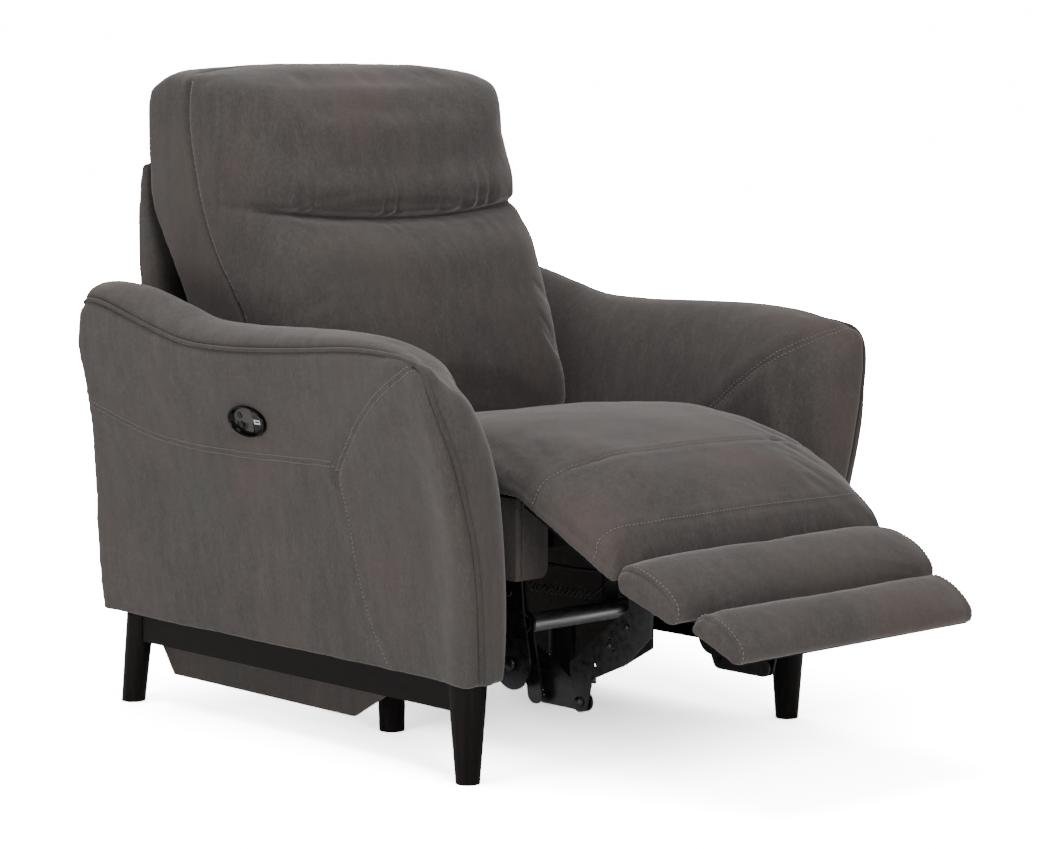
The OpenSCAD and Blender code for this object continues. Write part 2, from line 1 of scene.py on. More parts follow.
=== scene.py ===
"""Powered recliner armchair: padding, covers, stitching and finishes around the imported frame.

Lengths are in metres. Outlines measure y back from the line of the front legs, and
place() moves them into the row frame.
"""
import math

import bpy
import numpy as np
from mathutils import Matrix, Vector, kdtree, noise
from mathutils.bvhtree import BVHTree


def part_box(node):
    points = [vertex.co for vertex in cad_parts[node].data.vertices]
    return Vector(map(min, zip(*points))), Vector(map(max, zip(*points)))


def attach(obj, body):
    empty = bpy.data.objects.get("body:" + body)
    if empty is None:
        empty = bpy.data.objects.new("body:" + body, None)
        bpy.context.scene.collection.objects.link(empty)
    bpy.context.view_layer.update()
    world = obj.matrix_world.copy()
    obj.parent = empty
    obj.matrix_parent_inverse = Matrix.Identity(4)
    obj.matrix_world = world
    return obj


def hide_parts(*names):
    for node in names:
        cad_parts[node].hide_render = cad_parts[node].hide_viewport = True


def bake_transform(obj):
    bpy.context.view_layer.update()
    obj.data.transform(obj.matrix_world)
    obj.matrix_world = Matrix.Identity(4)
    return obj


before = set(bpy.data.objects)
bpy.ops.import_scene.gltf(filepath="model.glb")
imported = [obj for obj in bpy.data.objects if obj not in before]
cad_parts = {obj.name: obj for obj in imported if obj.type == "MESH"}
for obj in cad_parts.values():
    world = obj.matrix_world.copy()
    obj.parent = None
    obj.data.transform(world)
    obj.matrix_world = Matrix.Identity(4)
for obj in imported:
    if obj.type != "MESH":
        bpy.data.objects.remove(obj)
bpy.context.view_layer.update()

# ---------- the frame's own sizes ----------


def middle(node):
    low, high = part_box(node)
    return (low + high) / 2


LEG_LINE = middle("front_leg_l").y
ARM_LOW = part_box("arm_pad_l")[0]
ARM_INNER = ARM_LOW.x
ARM_BOTTOM = ARM_LOW.z
SEAT_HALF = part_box("seat_cushion")[1].x
BACK_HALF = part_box("back_cushion")[1].x
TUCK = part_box("back_cushion")[1].z
PANEL_LOW, PANEL_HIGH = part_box("back_panel")
MID_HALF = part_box("mid_pad")[1].x
END_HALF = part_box("end_pad")[1].x
FLOOR = 0.0

# Sizes of the remeshing grid, for arms and pads and for the larger cushions
FINE_VOXEL = 0.0045
LARGE_VOXEL = 0.006

# Thread and welts
STITCH_PITCH = 0.0068
STITCH_LENGTH = 0.0043
THREAD = 0.00078
ROW_GAP = 0.0085
ROW_GAP_SINGLE = 0.004
WELT = 0.0031
WELT_SMOOTHING = 24
WELT_SUNK = 0.0016
BOX_WELT = 0.0024

# Seams by kind: how deep the cover is drawn in, how wide, and how far the padding stands up beside it
ARM_GROOVE = {"depth": 0.0026, "width": 0.0075, "puff": 0.0012}
SINGLE_GROOVE = {"depth": 0.0022, "width": 0.0050, "puff": 0.0008}
WELT_GROOVE = {"depth": 0.0052, "width": 0.0062, "puff": 0.0014}
BACK_SIDE_GROOVE = {"depth": 0.0040, "width": 0.0042, "puff": 0.0006}
BACK_TOP_GROOVE = {"depth": 0.0045, "width": 0.0075, "puff": 0.0}
SEAT_ROW_GROOVE = {"depth": 0.0020, "width": 0.0045, "puff": 0.0006}
SEAT_EDGE_GROOVE = {"depth": 0.0022, "width": 0.0050, "puff": 0.0012}
PAD_EDGE_GROOVE = {"depth": 0.0036, "width": 0.0036, "puff": 0.0012}

# Unevenness of each cover, in layers of (height, size, stretch, seed)
ARM_WAVES = [(0.0015, 0.15, (1, 1, 0.9), 0.0), (0.0007, 0.035, (1, 1, 0.6), 7.3)]
BACK_WAVES = [(0.0018, 0.12, (1, 1, 1.2), 1.7), (0.0008, 0.035, (1, 1, 0.6), 8.3)]
PANEL_WAVES = [(0.0020, 0.15, (1, 1, 0.7), 3.3)]
SEAT_WAVES = [(0.0030, 0.12, (1, 1, 1), 2.2), (0.0009, 0.04, (0.6, 1, 1), 6.1)]
GUSSET_WAVES = [(0.0012, 0.05, (1, 1, 0.4), 5.5)]

# ---------- lines and grids ----------


def place(points):
    """Points measured from the leg line, in the row frame."""
    return np.asarray(points, float) + [0, LEG_LINE, 0]


def spline(points, count):
    """A smooth line through the points, given as `count` points evenly spaced along it."""
    p = np.asarray(points, float)
    knots = np.r_[0, np.cumsum(np.sqrt(np.linalg.norm(np.diff(p, axis=0), axis=1)))]
    steps = np.diff(knots)[:, None]
    slopes = np.diff(p, axis=0) / steps
    inner = (slopes[:-1] * steps[1:] + slopes[1:] * steps[:-1]) / (steps[1:] + steps[:-1])
    first = slopes[:1] if len(p) == 2 else 1.5 * slopes[:1] - 0.5 * inner[:1]
    last = slopes[-1:] if len(p) == 2 else 1.5 * slopes[-1:] - 0.5 * inner[-1:]
    tangents = np.vstack([first, inner, last])
    t = np.linspace(0, 1, 40)[:, None]
    fine = []
    for i, step in enumerate(steps[:, 0]):
        fine.append(
            (2 * t**3 - 3 * t**2 + 1) * p[i]
            + (t**3 - 2 * t**2 + t) * step * tangents[i]
            + (3 * t**2 - 2 * t**3) * p[i + 1]
            + (t**3 - t**2) * step * tangents[i + 1]
        )
    return evenly(np.vstack(fine), count)


def evenly(line, count):
    """The same line as `count` points evenly spaced along it."""
    along = np.r_[0, np.cumsum(np.linalg.norm(np.diff(line, axis=0), axis=1))]
    wanted = np.linspace(0, along[-1], count)
    return np.stack([np.interp(wanted, along, line[:, k]) for k in range(line.shape[1])], 1)


def length_of(line):
    return np.linalg.norm(np.diff(line, axis=0), axis=1).sum()


def smooth_table(pairs):
    """A function that follows a smooth line through (input, output) pairs with rising inputs."""
    line = spline(pairs, 200)
    order = np.argsort(line[:, 0])
    return lambda value: np.interp(value, line[order, 0], line[order, 1])


def ease(value, low, high):
    """0 below low, 1 above high, and a smooth rise between."""
    t = np.clip((np.asarray(value, float) - low) / (high - low), 0, 1)
    return t * t * (3 - 2 * t)


def bezier(points, count):
    """A cubic curve from its four control points."""
    t = np.linspace(0, 1, count)[:, None]
    a, b, c, d = (np.asarray(p, float) for p in points)
    return (1 - t) ** 3 * a + 3 * t * (1 - t) ** 2 * b + 3 * t**2 * (1 - t) * c + t**3 * d


def mirrored(points):
    return np.asarray(points, float) * [-1, 1, 1]


# ---------- meshes ----------


def add_object(name, vertices, faces):
    mesh = bpy.data.meshes.new(name)
    mesh.from_pydata([tuple(v) for v in vertices], [], faces)
    mesh.validate()
    piece = bpy.data.objects.new(name, mesh)
    bpy.context.scene.collection.objects.link(piece)
    return piece


def ring_faces(count, size, base=0):
    """Faces of the closed skin over rings of equal size, whose points follow one another from base."""
    faces = []
    for ring in range(count - 1):
        low = base + ring * size
        for j in range(size):
            k = (j + 1) % size
            faces.append((low + j, low + k, low + size + k, low + size + j))
    faces.append(tuple(base + j for j in reversed(range(size))))
    top = base + (count - 1) * size
    faces.append(tuple(top + j for j in range(size)))
    return faces


def join_meshes(parts):
    """Vertices and faces of several meshes as one."""
    vertices, faces = [], []
    for more, sides in parts:
        faces += [tuple(i + len(vertices) for i in face) for face in sides]
        vertices += list(more)
    return vertices, faces


def loft(name, rings):
    """A closed piece through rings of equal length, given in the leg frame."""
    rings = place(rings)
    return add_object(name, rings.reshape(-1, 3), ring_faces(*rings.shape[:2]))


def final_mesh(piece):
    """Applies the piece's modifiers."""
    graph = bpy.context.evaluated_depsgraph_get()
    made = bpy.data.meshes.new_from_object(piece.evaluated_get(graph))
    piece.modifiers.clear()
    old = piece.data
    piece.data = made
    bpy.data.meshes.remove(old)
    made.name = piece.name


def remesh(piece, voxel=FINE_VOXEL):
    modifier = piece.modifiers.new("remesh", "REMESH")
    modifier.mode = "VOXEL"
    modifier.voxel_size = voxel
    final_mesh(piece)


def subdivide(piece, levels=1):
    modifier = piece.modifiers.new("smooth", "SUBSURF")
    modifier.levels = levels
    modifier.render_levels = levels
    final_mesh(piece)


def points_of(piece):
    flat = np.zeros(len(piece.data.vertices) * 3)
    piece.data.vertices.foreach_get("co", flat)
    return flat.reshape(-1, 3)


def normals_of(piece):
    flat = np.zeros(len(piece.data.vertices) * 3)
    piece.data.vertices.foreach_get("normal", flat)
    return flat.reshape(-1, 3)


def set_points(piece, points):
    piece.data.vertices.foreach_set("co", np.asarray(points).ravel())
    piece.data.update()


def relax(piece, times, share=0.5, where=None):
    """Smooths the mesh; `where` holds a weight for each point."""
    edges = np.zeros(len(piece.data.edges) * 2, int)
    piece.data.edges.foreach_get("vertices", edges)
    a, b = edges.reshape(-1, 2).T
    points = points_of(piece)
    total = len(points)
    degree = np.maximum(np.bincount(np.r_[a, b], minlength=total), 1)[:, None]
    weight = share if where is None else share * where[:, None]
    for _ in range(times):
        near = np.stack(
            [np.bincount(np.r_[a, b], np.r_[points[b, k], points[a, k]], total) for k in range(3)], 1
        )
        points = points + weight * (near / degree - points)
    set_points(piece, points)


def distance_to(points, line):
    """Distance from each point to a line given as close points."""
    tree = kdtree.KDTree(len(line))
    for i, p in enumerate(line):
        tree.insert(p, i)
    tree.balance()
    return np.array([tree.find(p)[2] for p in points])


def push(piece, amounts):
    """Moves each point along its normal."""
    set_points(piece, points_of(piece) + normals_of(piece) * np.asarray(amounts)[:, None])


def sink_seam(piece, line, depth, width, puff):
    """Draws the cover in along a seam, with the padding standing up beside it."""
    d = distance_to(points_of(piece), line)
    groove = depth * np.exp(-((d / width) ** 2))
    shoulders = puff * np.exp(-(((d - 3 * width) / width / 1.5) ** 2))
    push(piece, shoulders - groove)


def undulate(piece, waves):
    """Soft unevenness of a padded surface, in layers of (height, size, stretch, seed)."""
    for height, size, stretch, seed in waves:
        points = points_of(piece) * stretch / size + seed
        push(piece, [height * noise.noise(Vector(p)) for p in points])


# ---------- cloth ----------


def swell(piece, pinned, pressure=4.0, cap=0.022, frames=20):
    """Blows a cover up with Blender's cloth, holding the pinned points, and limits how far a point moves."""
    scene = bpy.context.scene
    start = points_of(piece)
    group = piece.vertex_groups.new(name="pinned")
    group.add([int(i) for i in np.flatnonzero(pinned)], 1.0, "REPLACE")
    cloth = piece.modifiers.new("cloth", "CLOTH")
    settings = cloth.settings
    settings.vertex_group_mass = "pinned"
    settings.use_pressure = True
    settings.uniform_pressure_force = pressure
    settings.effector_weights.gravity = 0
    settings.quality = 5
    cloth.point_cache.frame_start = 1
    cloth.point_cache.frame_end = frames
    for number in range(1, frames + 1):
        scene.frame_set(number)
    graph = bpy.context.evaluated_depsgraph_get()
    moved = points_of(piece.evaluated_get(graph)) - start
    piece.modifiers.clear()
    piece.vertex_groups.clear()
    scene.frame_set(1)
    far = np.linalg.norm(moved, axis=1, keepdims=True)
    set_points(piece, start + moved * np.minimum(1, cap * np.tanh(far / cap) / np.maximum(far, 1e-9)))


# ---------- sewing ----------


class Cover:
    """The surface of a finished piece, for laying seams, thread and welts on it."""

    def __init__(self, piece):
        mesh = piece.data
        points = [vertex.co for vertex in mesh.vertices]
        self.tree = BVHTree.FromPolygons(points, [list(face.vertices) for face in mesh.polygons])

    def lay(self, line, lift=0.0):
        """The line pressed onto the surface, and the surface normal at each point."""
        spots, normals = [], []
        for p in line:
            spot, normal, _, _ = self.tree.find_nearest(Vector(p))
            spots.append(spot + normal * lift)
            normals.append(normal)
        return np.array(spots), np.array(normals)

    def beside(self, line, shift, lift=0.0):
        """A line on the surface at a distance to one side of a line on it."""
        spots, normals = self.lay(line)
        along = np.gradient(spots, axis=0)
        side = np.cross(normals, along)
        side /= np.maximum(np.linalg.norm(side, axis=1, keepdims=True), 1e-9)
        return self.lay(spots + side * shift, lift)


def thread_row(cover, line, shift=0.0):
    """Vertices and faces of one row of stitches laid on a cover."""
    count = max(4, int(length_of(line) / STITCH_PITCH * 4))
    spots, normals = cover.beside(evenly(line, count), shift, THREAD * 0.35)
    stitches = int(length_of(spots) / STITCH_PITCH)
    packed = evenly(np.hstack([spots, normals * 1e-6]), stitches * 2 + 1)
    centres, ups = packed[1::2, :3], packed[1::2, 3:]
    ahead = np.diff(packed[::2, :3], axis=0)
    ahead /= np.maximum(np.linalg.norm(ahead, axis=1, keepdims=True), 1e-9)
    ups /= np.maximum(np.linalg.norm(ups, axis=1, keepdims=True), 1e-12)
    sides = np.cross(ups, ahead)
    turns = np.linspace(0, 2 * math.pi, 6, endpoint=False)
    stations = [(-0.5, 0.25), (-0.3, 1.0), (0.3, 1.0), (0.5, 0.25)]
    vertices, faces = [], []
    for centre, up, forward, side in zip(centres, ups, ahead, sides):
        base = len(vertices)
        for reach, width in stations:
            droop = -THREAD * (1 - width) * 0.9
            core = centre + forward * reach * STITCH_LENGTH + up * droop
            for turn in turns:
                vertices.append(core + THREAD * width * (math.cos(turn) * side + math.sin(turn) * up))
        faces += ring_faces(len(stations), len(turns), base)
    return vertices, faces


def sew(name, cover, rows, body):
    """One piece of thread on a cover. Each row is (line in the leg frame, shift to the side)."""
    stitches = join_meshes(thread_row(cover, place(line), shift) for line, shift in rows)
    return finish_piece(add_object(name, *stitches), body, MATERIALS["thread"])


def tube_mesh(line, radius, sides=12):
    """Vertices and faces of a closed tube along a line."""
    line = np.asarray(line)
    ahead = np.gradient(line, axis=0)
    ahead /= np.maximum(np.linalg.norm(ahead, axis=1, keepdims=True), 1e-9)
    side = np.cross(ahead[0], [0, 0, 1] if abs(ahead[0][2]) < 0.9 else [1, 0, 0])
    vertices = []
    turns = np.linspace(0, 2 * math.pi, sides, endpoint=False)
    for i, (p, forward) in enumerate(zip(line, ahead)):
        side = side - forward * (side @ forward)
        side /= np.linalg.norm(side)
        up = np.cross(forward, side)
        end = 0.35 if i in (0, len(line) - 1) else 1.0
        vertices += [p + radius * end * (math.cos(t) * side + math.sin(t) * up) for t in turns]
    return vertices, ring_faces(len(line), sides)


def tube(name, line, radius, body, material, sides=12):
    """A tube along a line in the row frame."""
    return finish_piece(add_object(name, *tube_mesh(line, radius, sides)), body, material)


def finish_piece(piece, body, material, replaces=(), smooth=True):
    """Material, slot and body of a finished piece."""
    piece.data.materials.clear()
    piece.data.materials.append(material)
    piece.data.polygons.foreach_set("use_smooth", [smooth] * len(piece.data.polygons))
    if body:
        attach(piece, body)
    if replaces:
        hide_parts(*replaces)
    return piece


# ---------- materials ----------


class Finish:
    """A node material in the making."""

    def __init__(self, name):
        self.material = bpy.data.materials.new(name)
        self.material.use_nodes = True
        self.tree = self.material.node_tree
        self.surface = self.tree.nodes["Principled BSDF"]

    def node(self, kind, inputs=None, **settings):
        made = self.tree.nodes.new(kind)
        for key, value in settings.items():
            setattr(made, key, value)
        for key, value in (inputs or {}).items():
            self.feed(made.inputs[key], value)
        return made

    def feed(self, socket, value):
        if isinstance(value, bpy.types.NodeSocket):
            self.tree.links.new(value, socket)
        else:
            socket.default_value = value

    def set(self, **values):
        """Inputs of the surface, with _ for each space in their names."""
        for key, value in values.items():
            self.feed(self.surface.inputs[key.replace("_", " ")], value)

    def noise(self, scale, detail=3.0, stretch=(1, 1, 1), rough=0.5):
        where = self.node("ShaderNodeTexCoord").outputs["Object"]
        scaled = self.node("ShaderNodeMapping", {"Vector": where, "Scale": stretch}).outputs["Vector"]
        inputs = {"Vector": scaled, "Scale": scale, "Detail": detail, "Roughness": rough}
        return self.node("ShaderNodeTexNoise", inputs).outputs["Fac"]

    def math(self, operation, a, b):
        return self.node("ShaderNodeMath", {0: a, 1: b}, operation=operation).outputs[0]

    def ramp(self, value, low, high, out_low=0.0, out_high=1.0):
        inputs = {"Value": value, "From Min": low, "From Max": high, "To Min": out_low, "To Max": out_high}
        return self.node("ShaderNodeMapRange", inputs).outputs["Result"]

    def mix(self, share, a, b):
        made = self.node("ShaderNodeMix", data_type="RGBA")
        self.feed(made.inputs[0], share)
        self.feed(made.inputs[6], a)
        self.feed(made.inputs[7], b)
        return made.outputs[2]

    def bump(self, height, strength, distance):
        inputs = {"Height": height, "Strength": strength, "Distance": distance}
        return self.node("ShaderNodeBump", inputs).outputs["Normal"]


def rgb(red, green, blue):
    return (red, green, blue, 1.0)


def suede(name, light=1.0, nap=1.0):
    """Brushed microfibre: mottled, streaked by hand marks, with a short nap."""
    f = Finish(name)
    broad = f.noise(4.5, 4)
    mottle = f.noise(46, 6, (1, 1, 0.55), 0.62)
    streaks = f.noise(14, 6, (5.0, 5.0, 0.6), 0.62)
    fine = f.noise(300, 4, (1, 1, 0.5))
    tone = f.math("ADD", f.ramp(broad, 0.3, 0.7, -0.05, 0.05), f.ramp(mottle, 0.3, 0.7, -0.06, 0.06))
    tone = f.math("ADD", tone, f.ramp(streaks, 0.3, 0.7, -0.07, 0.07))
    tone = f.math("ADD", tone, f.ramp(fine, 0.3, 0.7, -0.09, 0.09))
    dark, mid, pale = rgb(0.0425, 0.0370, 0.0350), rgb(0.061, 0.0540, 0.0512), rgb(0.086, 0.0770, 0.0735)
    # light scales every colour of the fabric; below 1 it makes a darker copy that stands in for shade, which
    # is painted shade
    dark, mid, pale = ([c * light for c in colour[:3]] + [1.0] for colour in (dark, mid, pale))
    colour = f.mix(f.ramp(tone, -0.2, 0.0), dark, mid)
    colour = f.mix(f.ramp(tone, 0.0, 0.2), colour, pale)
    warm = f.ramp(f.noise(4.2, 5, (1, 1, 0.7), 0.6), 0.47, 0.66, 0.0, 0.5)
    cool = f.ramp(f.noise(6, 4, (0.6, 1, 1)), 0.52, 0.72, 0.0, 0.34)
    colour = f.mix(warm, colour, [0.090 * light, 0.062 * light, 0.055 * light, 1.0])
    colour = f.mix(cool, colour, [0.058 * light, 0.064 * light, 0.054 * light, 1.0])
    height = f.math("ADD", f.noise(1500, 2), f.math("MULTIPLY", f.noise(240, 3, (1, 1, 0.5)), 0.7))
    f.set(
        Base_Color=colour,
        Roughness=f.ramp(mottle, 0.3, 0.7, 0.82, 0.95),
        Specular_IOR_Level=0.22,
        Sheen_Weight=0.42 * nap,
        Sheen_Roughness=0.42,
        Sheen_Tint=rgb(0.80, 0.76, 0.74),
        Normal=f.bump(height, 0.42, 0.0008),
    )
    return f.material


def sewing_thread(name):
    f = Finish(name)
    twist = f.noise(900, 2, (1, 1, 1))
    f.set(
        Base_Color=f.mix(f.ramp(twist, 0.3, 0.7), rgb(0.095, 0.084, 0.078), rgb(0.165, 0.148, 0.138)),
        Roughness=0.6,
        Sheen_Weight=0.3,
        Normal=f.bump(twist, 0.3, 0.0002),
    )
    return f.material


def worn_edges(f, radius):
    """1 along sharp edges and 0 on flat faces."""
    bevelled = f.node("ShaderNodeBevel", {"Radius": radius}, samples=4).outputs["Normal"]
    straight = f.node("ShaderNodeNewGeometry").outputs["Normal"]
    inputs = {0: bevelled, 1: straight}
    match = f.node("ShaderNodeVectorMath", inputs, operation="DOT_PRODUCT").outputs["Value"]
    patchy = f.noise(60, 4)
    return f.math("MULTIPLY", f.ramp(match, 0.99, 0.85), f.ramp(patchy, 0.45, 0.62))


def stained_wood(name, along=(14, 14, 0.9)):
    """Near-black espresso stain over grain, with a satin lacquer."""
    f = Finish(name)
    grain = f.noise(9, 8, along, 0.62)
    pores = f.noise(60, 4, along)
    colour = f.mix(f.ramp(grain, 0.35, 0.66), rgb(0.0030, 0.0022, 0.0020), rgb(0.0085, 0.0058, 0.0050))
    colour = f.mix(f.math("MULTIPLY", worn_edges(f, 0.0012), 0.3), colour, rgb(0.030, 0.020, 0.015))
    f.set(
        Base_Color=colour,
        Roughness=f.ramp(grain, 0.3, 0.7, 0.38, 0.55),
        Specular_IOR_Level=0.12,
        Coat_Weight=0.02,
        Coat_Roughness=0.24,
        Normal=f.bump(pores, 0.12, 0.0004),
    )
    return f.material


def painted_steel(name):
    """Black semi-gloss powder coat, rubbed to grey along its edges."""
    f = Finish(name)
    spots = f.noise(85, 5)
    peel = f.noise(700, 2)
    colour = f.mix(f.ramp(spots, 0.35, 0.7), rgb(0.0035, 0.0035, 0.004), rgb(0.010, 0.010, 0.011))
    colour = f.mix(f.math("MULTIPLY", worn_edges(f, 0.0007), 0.25), colour, rgb(0.040, 0.040, 0.044))
    f.set(
        Base_Color=colour,
        Roughness=f.ramp(spots, 0.3, 0.7, 0.24, 0.38),
        Specular_IOR_Level=0.42,
        Normal=f.bump(peel, 0.12, 0.0003),
    )
    return f.material


def bright_steel(name, tone=0.42):
    """Zinc-plated steel with drawn streaks."""
    f = Finish(name)
    streak = f.noise(40, 4, (0.4, 6, 6))
    dull = f.noise(30, 3)
    dark, bright = rgb(tone * 0.7, tone * 0.7, tone * 0.72), rgb(tone, tone, tone * 1.02)
    colour = f.mix(f.ramp(streak, 0.3, 0.7), dark, bright)
    f.set(
        Base_Color=colour,
        Metallic=0.95,
        Roughness=f.ramp(dull, 0.3, 0.7, 0.26, 0.42),
        Normal=f.bump(streak, 0.1, 0.0003),
    )
    return f.material


def layered_ply(name):
    """Plywood: pale plies on its edges, and streaked faces."""
    f = Finish(name)
    plies = f.noise(70, 3, (0.15, 1, 5))
    grain = f.noise(10, 7, (0.6, 8, 8), 0.6)
    colour = f.mix(f.ramp(grain, 0.3, 0.7), rgb(0.30, 0.19, 0.10), rgb(0.46, 0.32, 0.19))
    colour = f.mix(f.ramp(plies, 0.5, 0.6, 0.0, 0.35), colour, rgb(0.19, 0.11, 0.06))
    f.set(Base_Color=colour, Roughness=f.ramp(grain, 0.3, 0.7, 0.6, 0.8), Normal=f.bump(grain, 0.2, 0.0005))
    return f.material


def plastic(name, colour, rough, grain=0.0, shine=0.3):
    """Moulded plastic, with a faint texture where it isn't polished, and finger marks where it is."""
    f = Finish(name)
    marks = f.noise(55, 4)
    texture = f.noise(1100, 2)
    pale = [c * 1.5 + 0.001 for c in colour] + [1.0]
    shade = f.mix(f.ramp(marks, 0.35, 0.75, 0.0, 0.5), [*colour, 1.0], pale)
    worn = [c * 2 + 0.02 for c in colour] + [1.0]
    shade = f.mix(f.math("MULTIPLY", worn_edges(f, 0.0006), 0.25), shade, worn)
    f.set(
        Base_Color=shade,
        Roughness=f.ramp(marks, 0.3, 0.7, rough * 0.8, min(1, rough * 1.3)),
        Specular_IOR_Level=shine,
        Normal=f.bump(texture, 0.05 + grain, 0.0002),
    )
    return f.material


def woven_lining(name):
    """Thin black non-woven cloth under and inside the chair."""
    f = Finish(name)
    fibres = f.noise(500, 4, (1, 3, 1))
    patches = f.noise(30, 3)
    f.set(
        Base_Color=f.mix(f.ramp(patches, 0.3, 0.7), rgb(0.006, 0.006, 0.006), rgb(0.016, 0.015, 0.015)),
        Roughness=f.ramp(fibres, 0.3, 0.7, 0.85, 1.0),
        Specular_IOR_Level=0.15,
        Normal=f.bump(fibres, 0.4, 0.0006),
    )
    return f.material


MATERIALS = {
    "suede": suede("suede"),
    # The welt is the same fabric as the covers, darkened to 0.84 as painted shade so that it reads as the dark
    # line its groove casts
    "welt": suede("welt_suede_painted_shade", 0.84, 0.9),
    "thread": sewing_thread("thread"),
    "wood_leg": stained_wood("wood_leg"),
    "wood_side": stained_wood("wood_side", (14, 0.9, 14)),
    "wood_cross": stained_wood("wood_cross", (0.9, 14, 14)),
    "steel": painted_steel("steel"),
    "zinc": bright_steel("zinc"),
    "spring": bright_steel("spring_wire", 0.16),
    "ply": layered_ply("ply"),
    "lining": woven_lining("lining_cloth"),
    "plastic_black": plastic("plastic_matt", (0.006, 0.006, 0.0065), 0.45, 0.1),
    "plastic_gloss": plastic("plastic_polished", (0.002, 0.002, 0.0023), 0.1, shine=0.16),
    "plastic_grey": plastic("plastic_grey_matt", (0.006, 0.006, 0.0068), 0.34, 0.05),
    # Pale plastic of the USB socket: partly the socket's own white insert, partly a painted highlight for the
    # glint on the switch plate
    "plastic_white": plastic("plastic_pale_painted_highlight", (0.62, 0.62, 0.6), 0.35),
}

# ---------- arms ----------

# Welt along the front and top of an arm, on its outer side
ARM_WELT = [
    (0.352, -0.040, 0.150),
    (0.375, -0.062, 0.270),
    (0.392, -0.071, 0.355),
    (0.411, -0.074, 0.421),
    (0.428, -0.073, 0.481),
    (0.445, -0.066, 0.531),
    (0.459, -0.059, 0.571),
    (0.465, -0.050, 0.605),
    (0.466, -0.028, 0.627),
    (0.465, 0.030, 0.631),
    (0.464, 0.118, 0.631),
    (0.462, 0.232, 0.622),
    (0.460, 0.351, 0.615),
    (0.460, 0.448, 0.613),
    (0.459, 0.524, 0.617),
    (0.458, 0.588, 0.630),
    (0.456, 0.653, 0.645),
    (0.454, 0.733, 0.664),
    (0.452, 0.773, 0.668),
    (0.450, 0.800, 0.662),
]
ARM_CORNER = 8
ARM_CORNER_Y, ARM_CORNER_Z = ARM_WELT[ARM_CORNER][1:]
front_welt = ARM_WELT[: ARM_CORNER + 1]
top_welt = ARM_WELT[ARM_CORNER:]

# The welt's line as functions, and the lines of the crown, the inner front edge and the rear
front_welt_x = smooth_table([(z, x) for x, y, z in front_welt])
front_welt_y = smooth_table([(z, y) for x, y, z in front_welt] + [(0.645, 0.03), (0.70, 0.10)])
top_welt_z = smooth_table([(y, z) for x, y, z in top_welt])
top_welt_x = smooth_table([(y, x) for x, y, z in top_welt])
crown_z = smooth_table(
    [(-0.08, 0.585), (-0.047, 0.602), (0.013, 0.630), (0.074, 0.646), (0.136, 0.652), (0.265, 0.651)]
    + [(0.399, 0.648), (0.496, 0.652), (0.581, 0.671), (0.684, 0.694), (0.76, 0.697), (0.87, 0.68)]
)
arm_front_x = smooth_table(
    [(0.14, 0.299), (0.25, 0.303), (0.324, 0.308), (0.38, 0.315), (0.435, 0.323), (0.485, 0.336)]
    + [(0.53, 0.352), (0.58, 0.379), (0.62, 0.410), (0.645, 0.436), (0.70, 0.455)]
)
arm_rear_y = smooth_table(
    [(0.10, 0.880), (0.165, 0.874), (0.351, 0.856), (0.534, 0.819)]
    + [(0.616, 0.811), (0.65, 0.803), (0.70, 0.775)]
)

# The rounded nose of an arm between its inner face and its front, which is nearly square at its foot
NOSE_WIDTH = 0.075
NOSE_DEPTH = 0.036
NOSE_FOOT = 0.22
NOSE_RISE = (0.14, 0.36)
NOSE_BOW = 0.004

# Padding of the outer face: over all of it, in a roll behind the welt, and at its foot
OUTER_PAD = 0.003
OUTER_RISE = 0.005
OUTER_ROLL = 0.017
ROLL_BEHIND = 0.010
ROLL_WIDTH = 0.050
FOOT_PAD = 0.011

# Height where the inner face turns in to the top, which is higher at the front
INNER_TURN = 0.45
INNER_TURN_FRONT = 0.045


def arm_outer_x(y, z):
    """Outer face of an arm: the welt's line, and the padding that stands out behind it."""
    behind = y - front_welt_y(z)
    roll = OUTER_ROLL * np.exp(-(((behind - ROLL_BEHIND) / ROLL_WIDTH) ** 2)) * (1 - ease(z, 0.44, 0.63))
    swell_out = OUTER_PAD + roll + FOOT_PAD * (1 - ease(z, 0.15, 0.46))
    rise = 1 - np.exp(-np.maximum(behind, 0) / OUTER_RISE)
    taper = (front_welt_x(ARM_CORNER_Z) - top_welt_x(y)) * ease(z, 0.2, 0.62)
    return front_welt_x(z) + swell_out * rise - taper


def arm_inner_x(y, z):
    """Inner face of an arm, which is a little fuller at the foot of its front end and drawn in at the top."""
    behind = ease(y, -0.03, 0.12)
    flat = ARM_INNER - 0.001 + np.minimum(arm_front_x(z) - ARM_INNER, 0) * (1 - behind)
    return np.maximum(flat, arm_front_x(z) - 0.12 * behind)


def arm_crown(start, end, y):
    """The padded top of an arm's section at y, from start to end, which just reaches the crown's height."""
    t = np.linspace(0.2, 0.8, 30)
    fixed = (1 - t) ** 3 * start[1] + t**3 * end[1]
    free = 3 * t * (1 - t) ** 2 + 3 * t**2 * (1 - t)
    pull = float(np.min((crown_z(y) - fixed) / free))
    full = 0.008 + 0.019 * ease(y, 0.0, 0.25)
    over = bezier([start, (start[0] - 0.026, pull), (end[0] + full, pull), end], 44)[1:]
    inside = np.minimum(arm_inner_x(y, over[:, 1]), start[0] - 0.004)
    over[:, 0] = np.maximum(over[:, 0], inside)
    return over


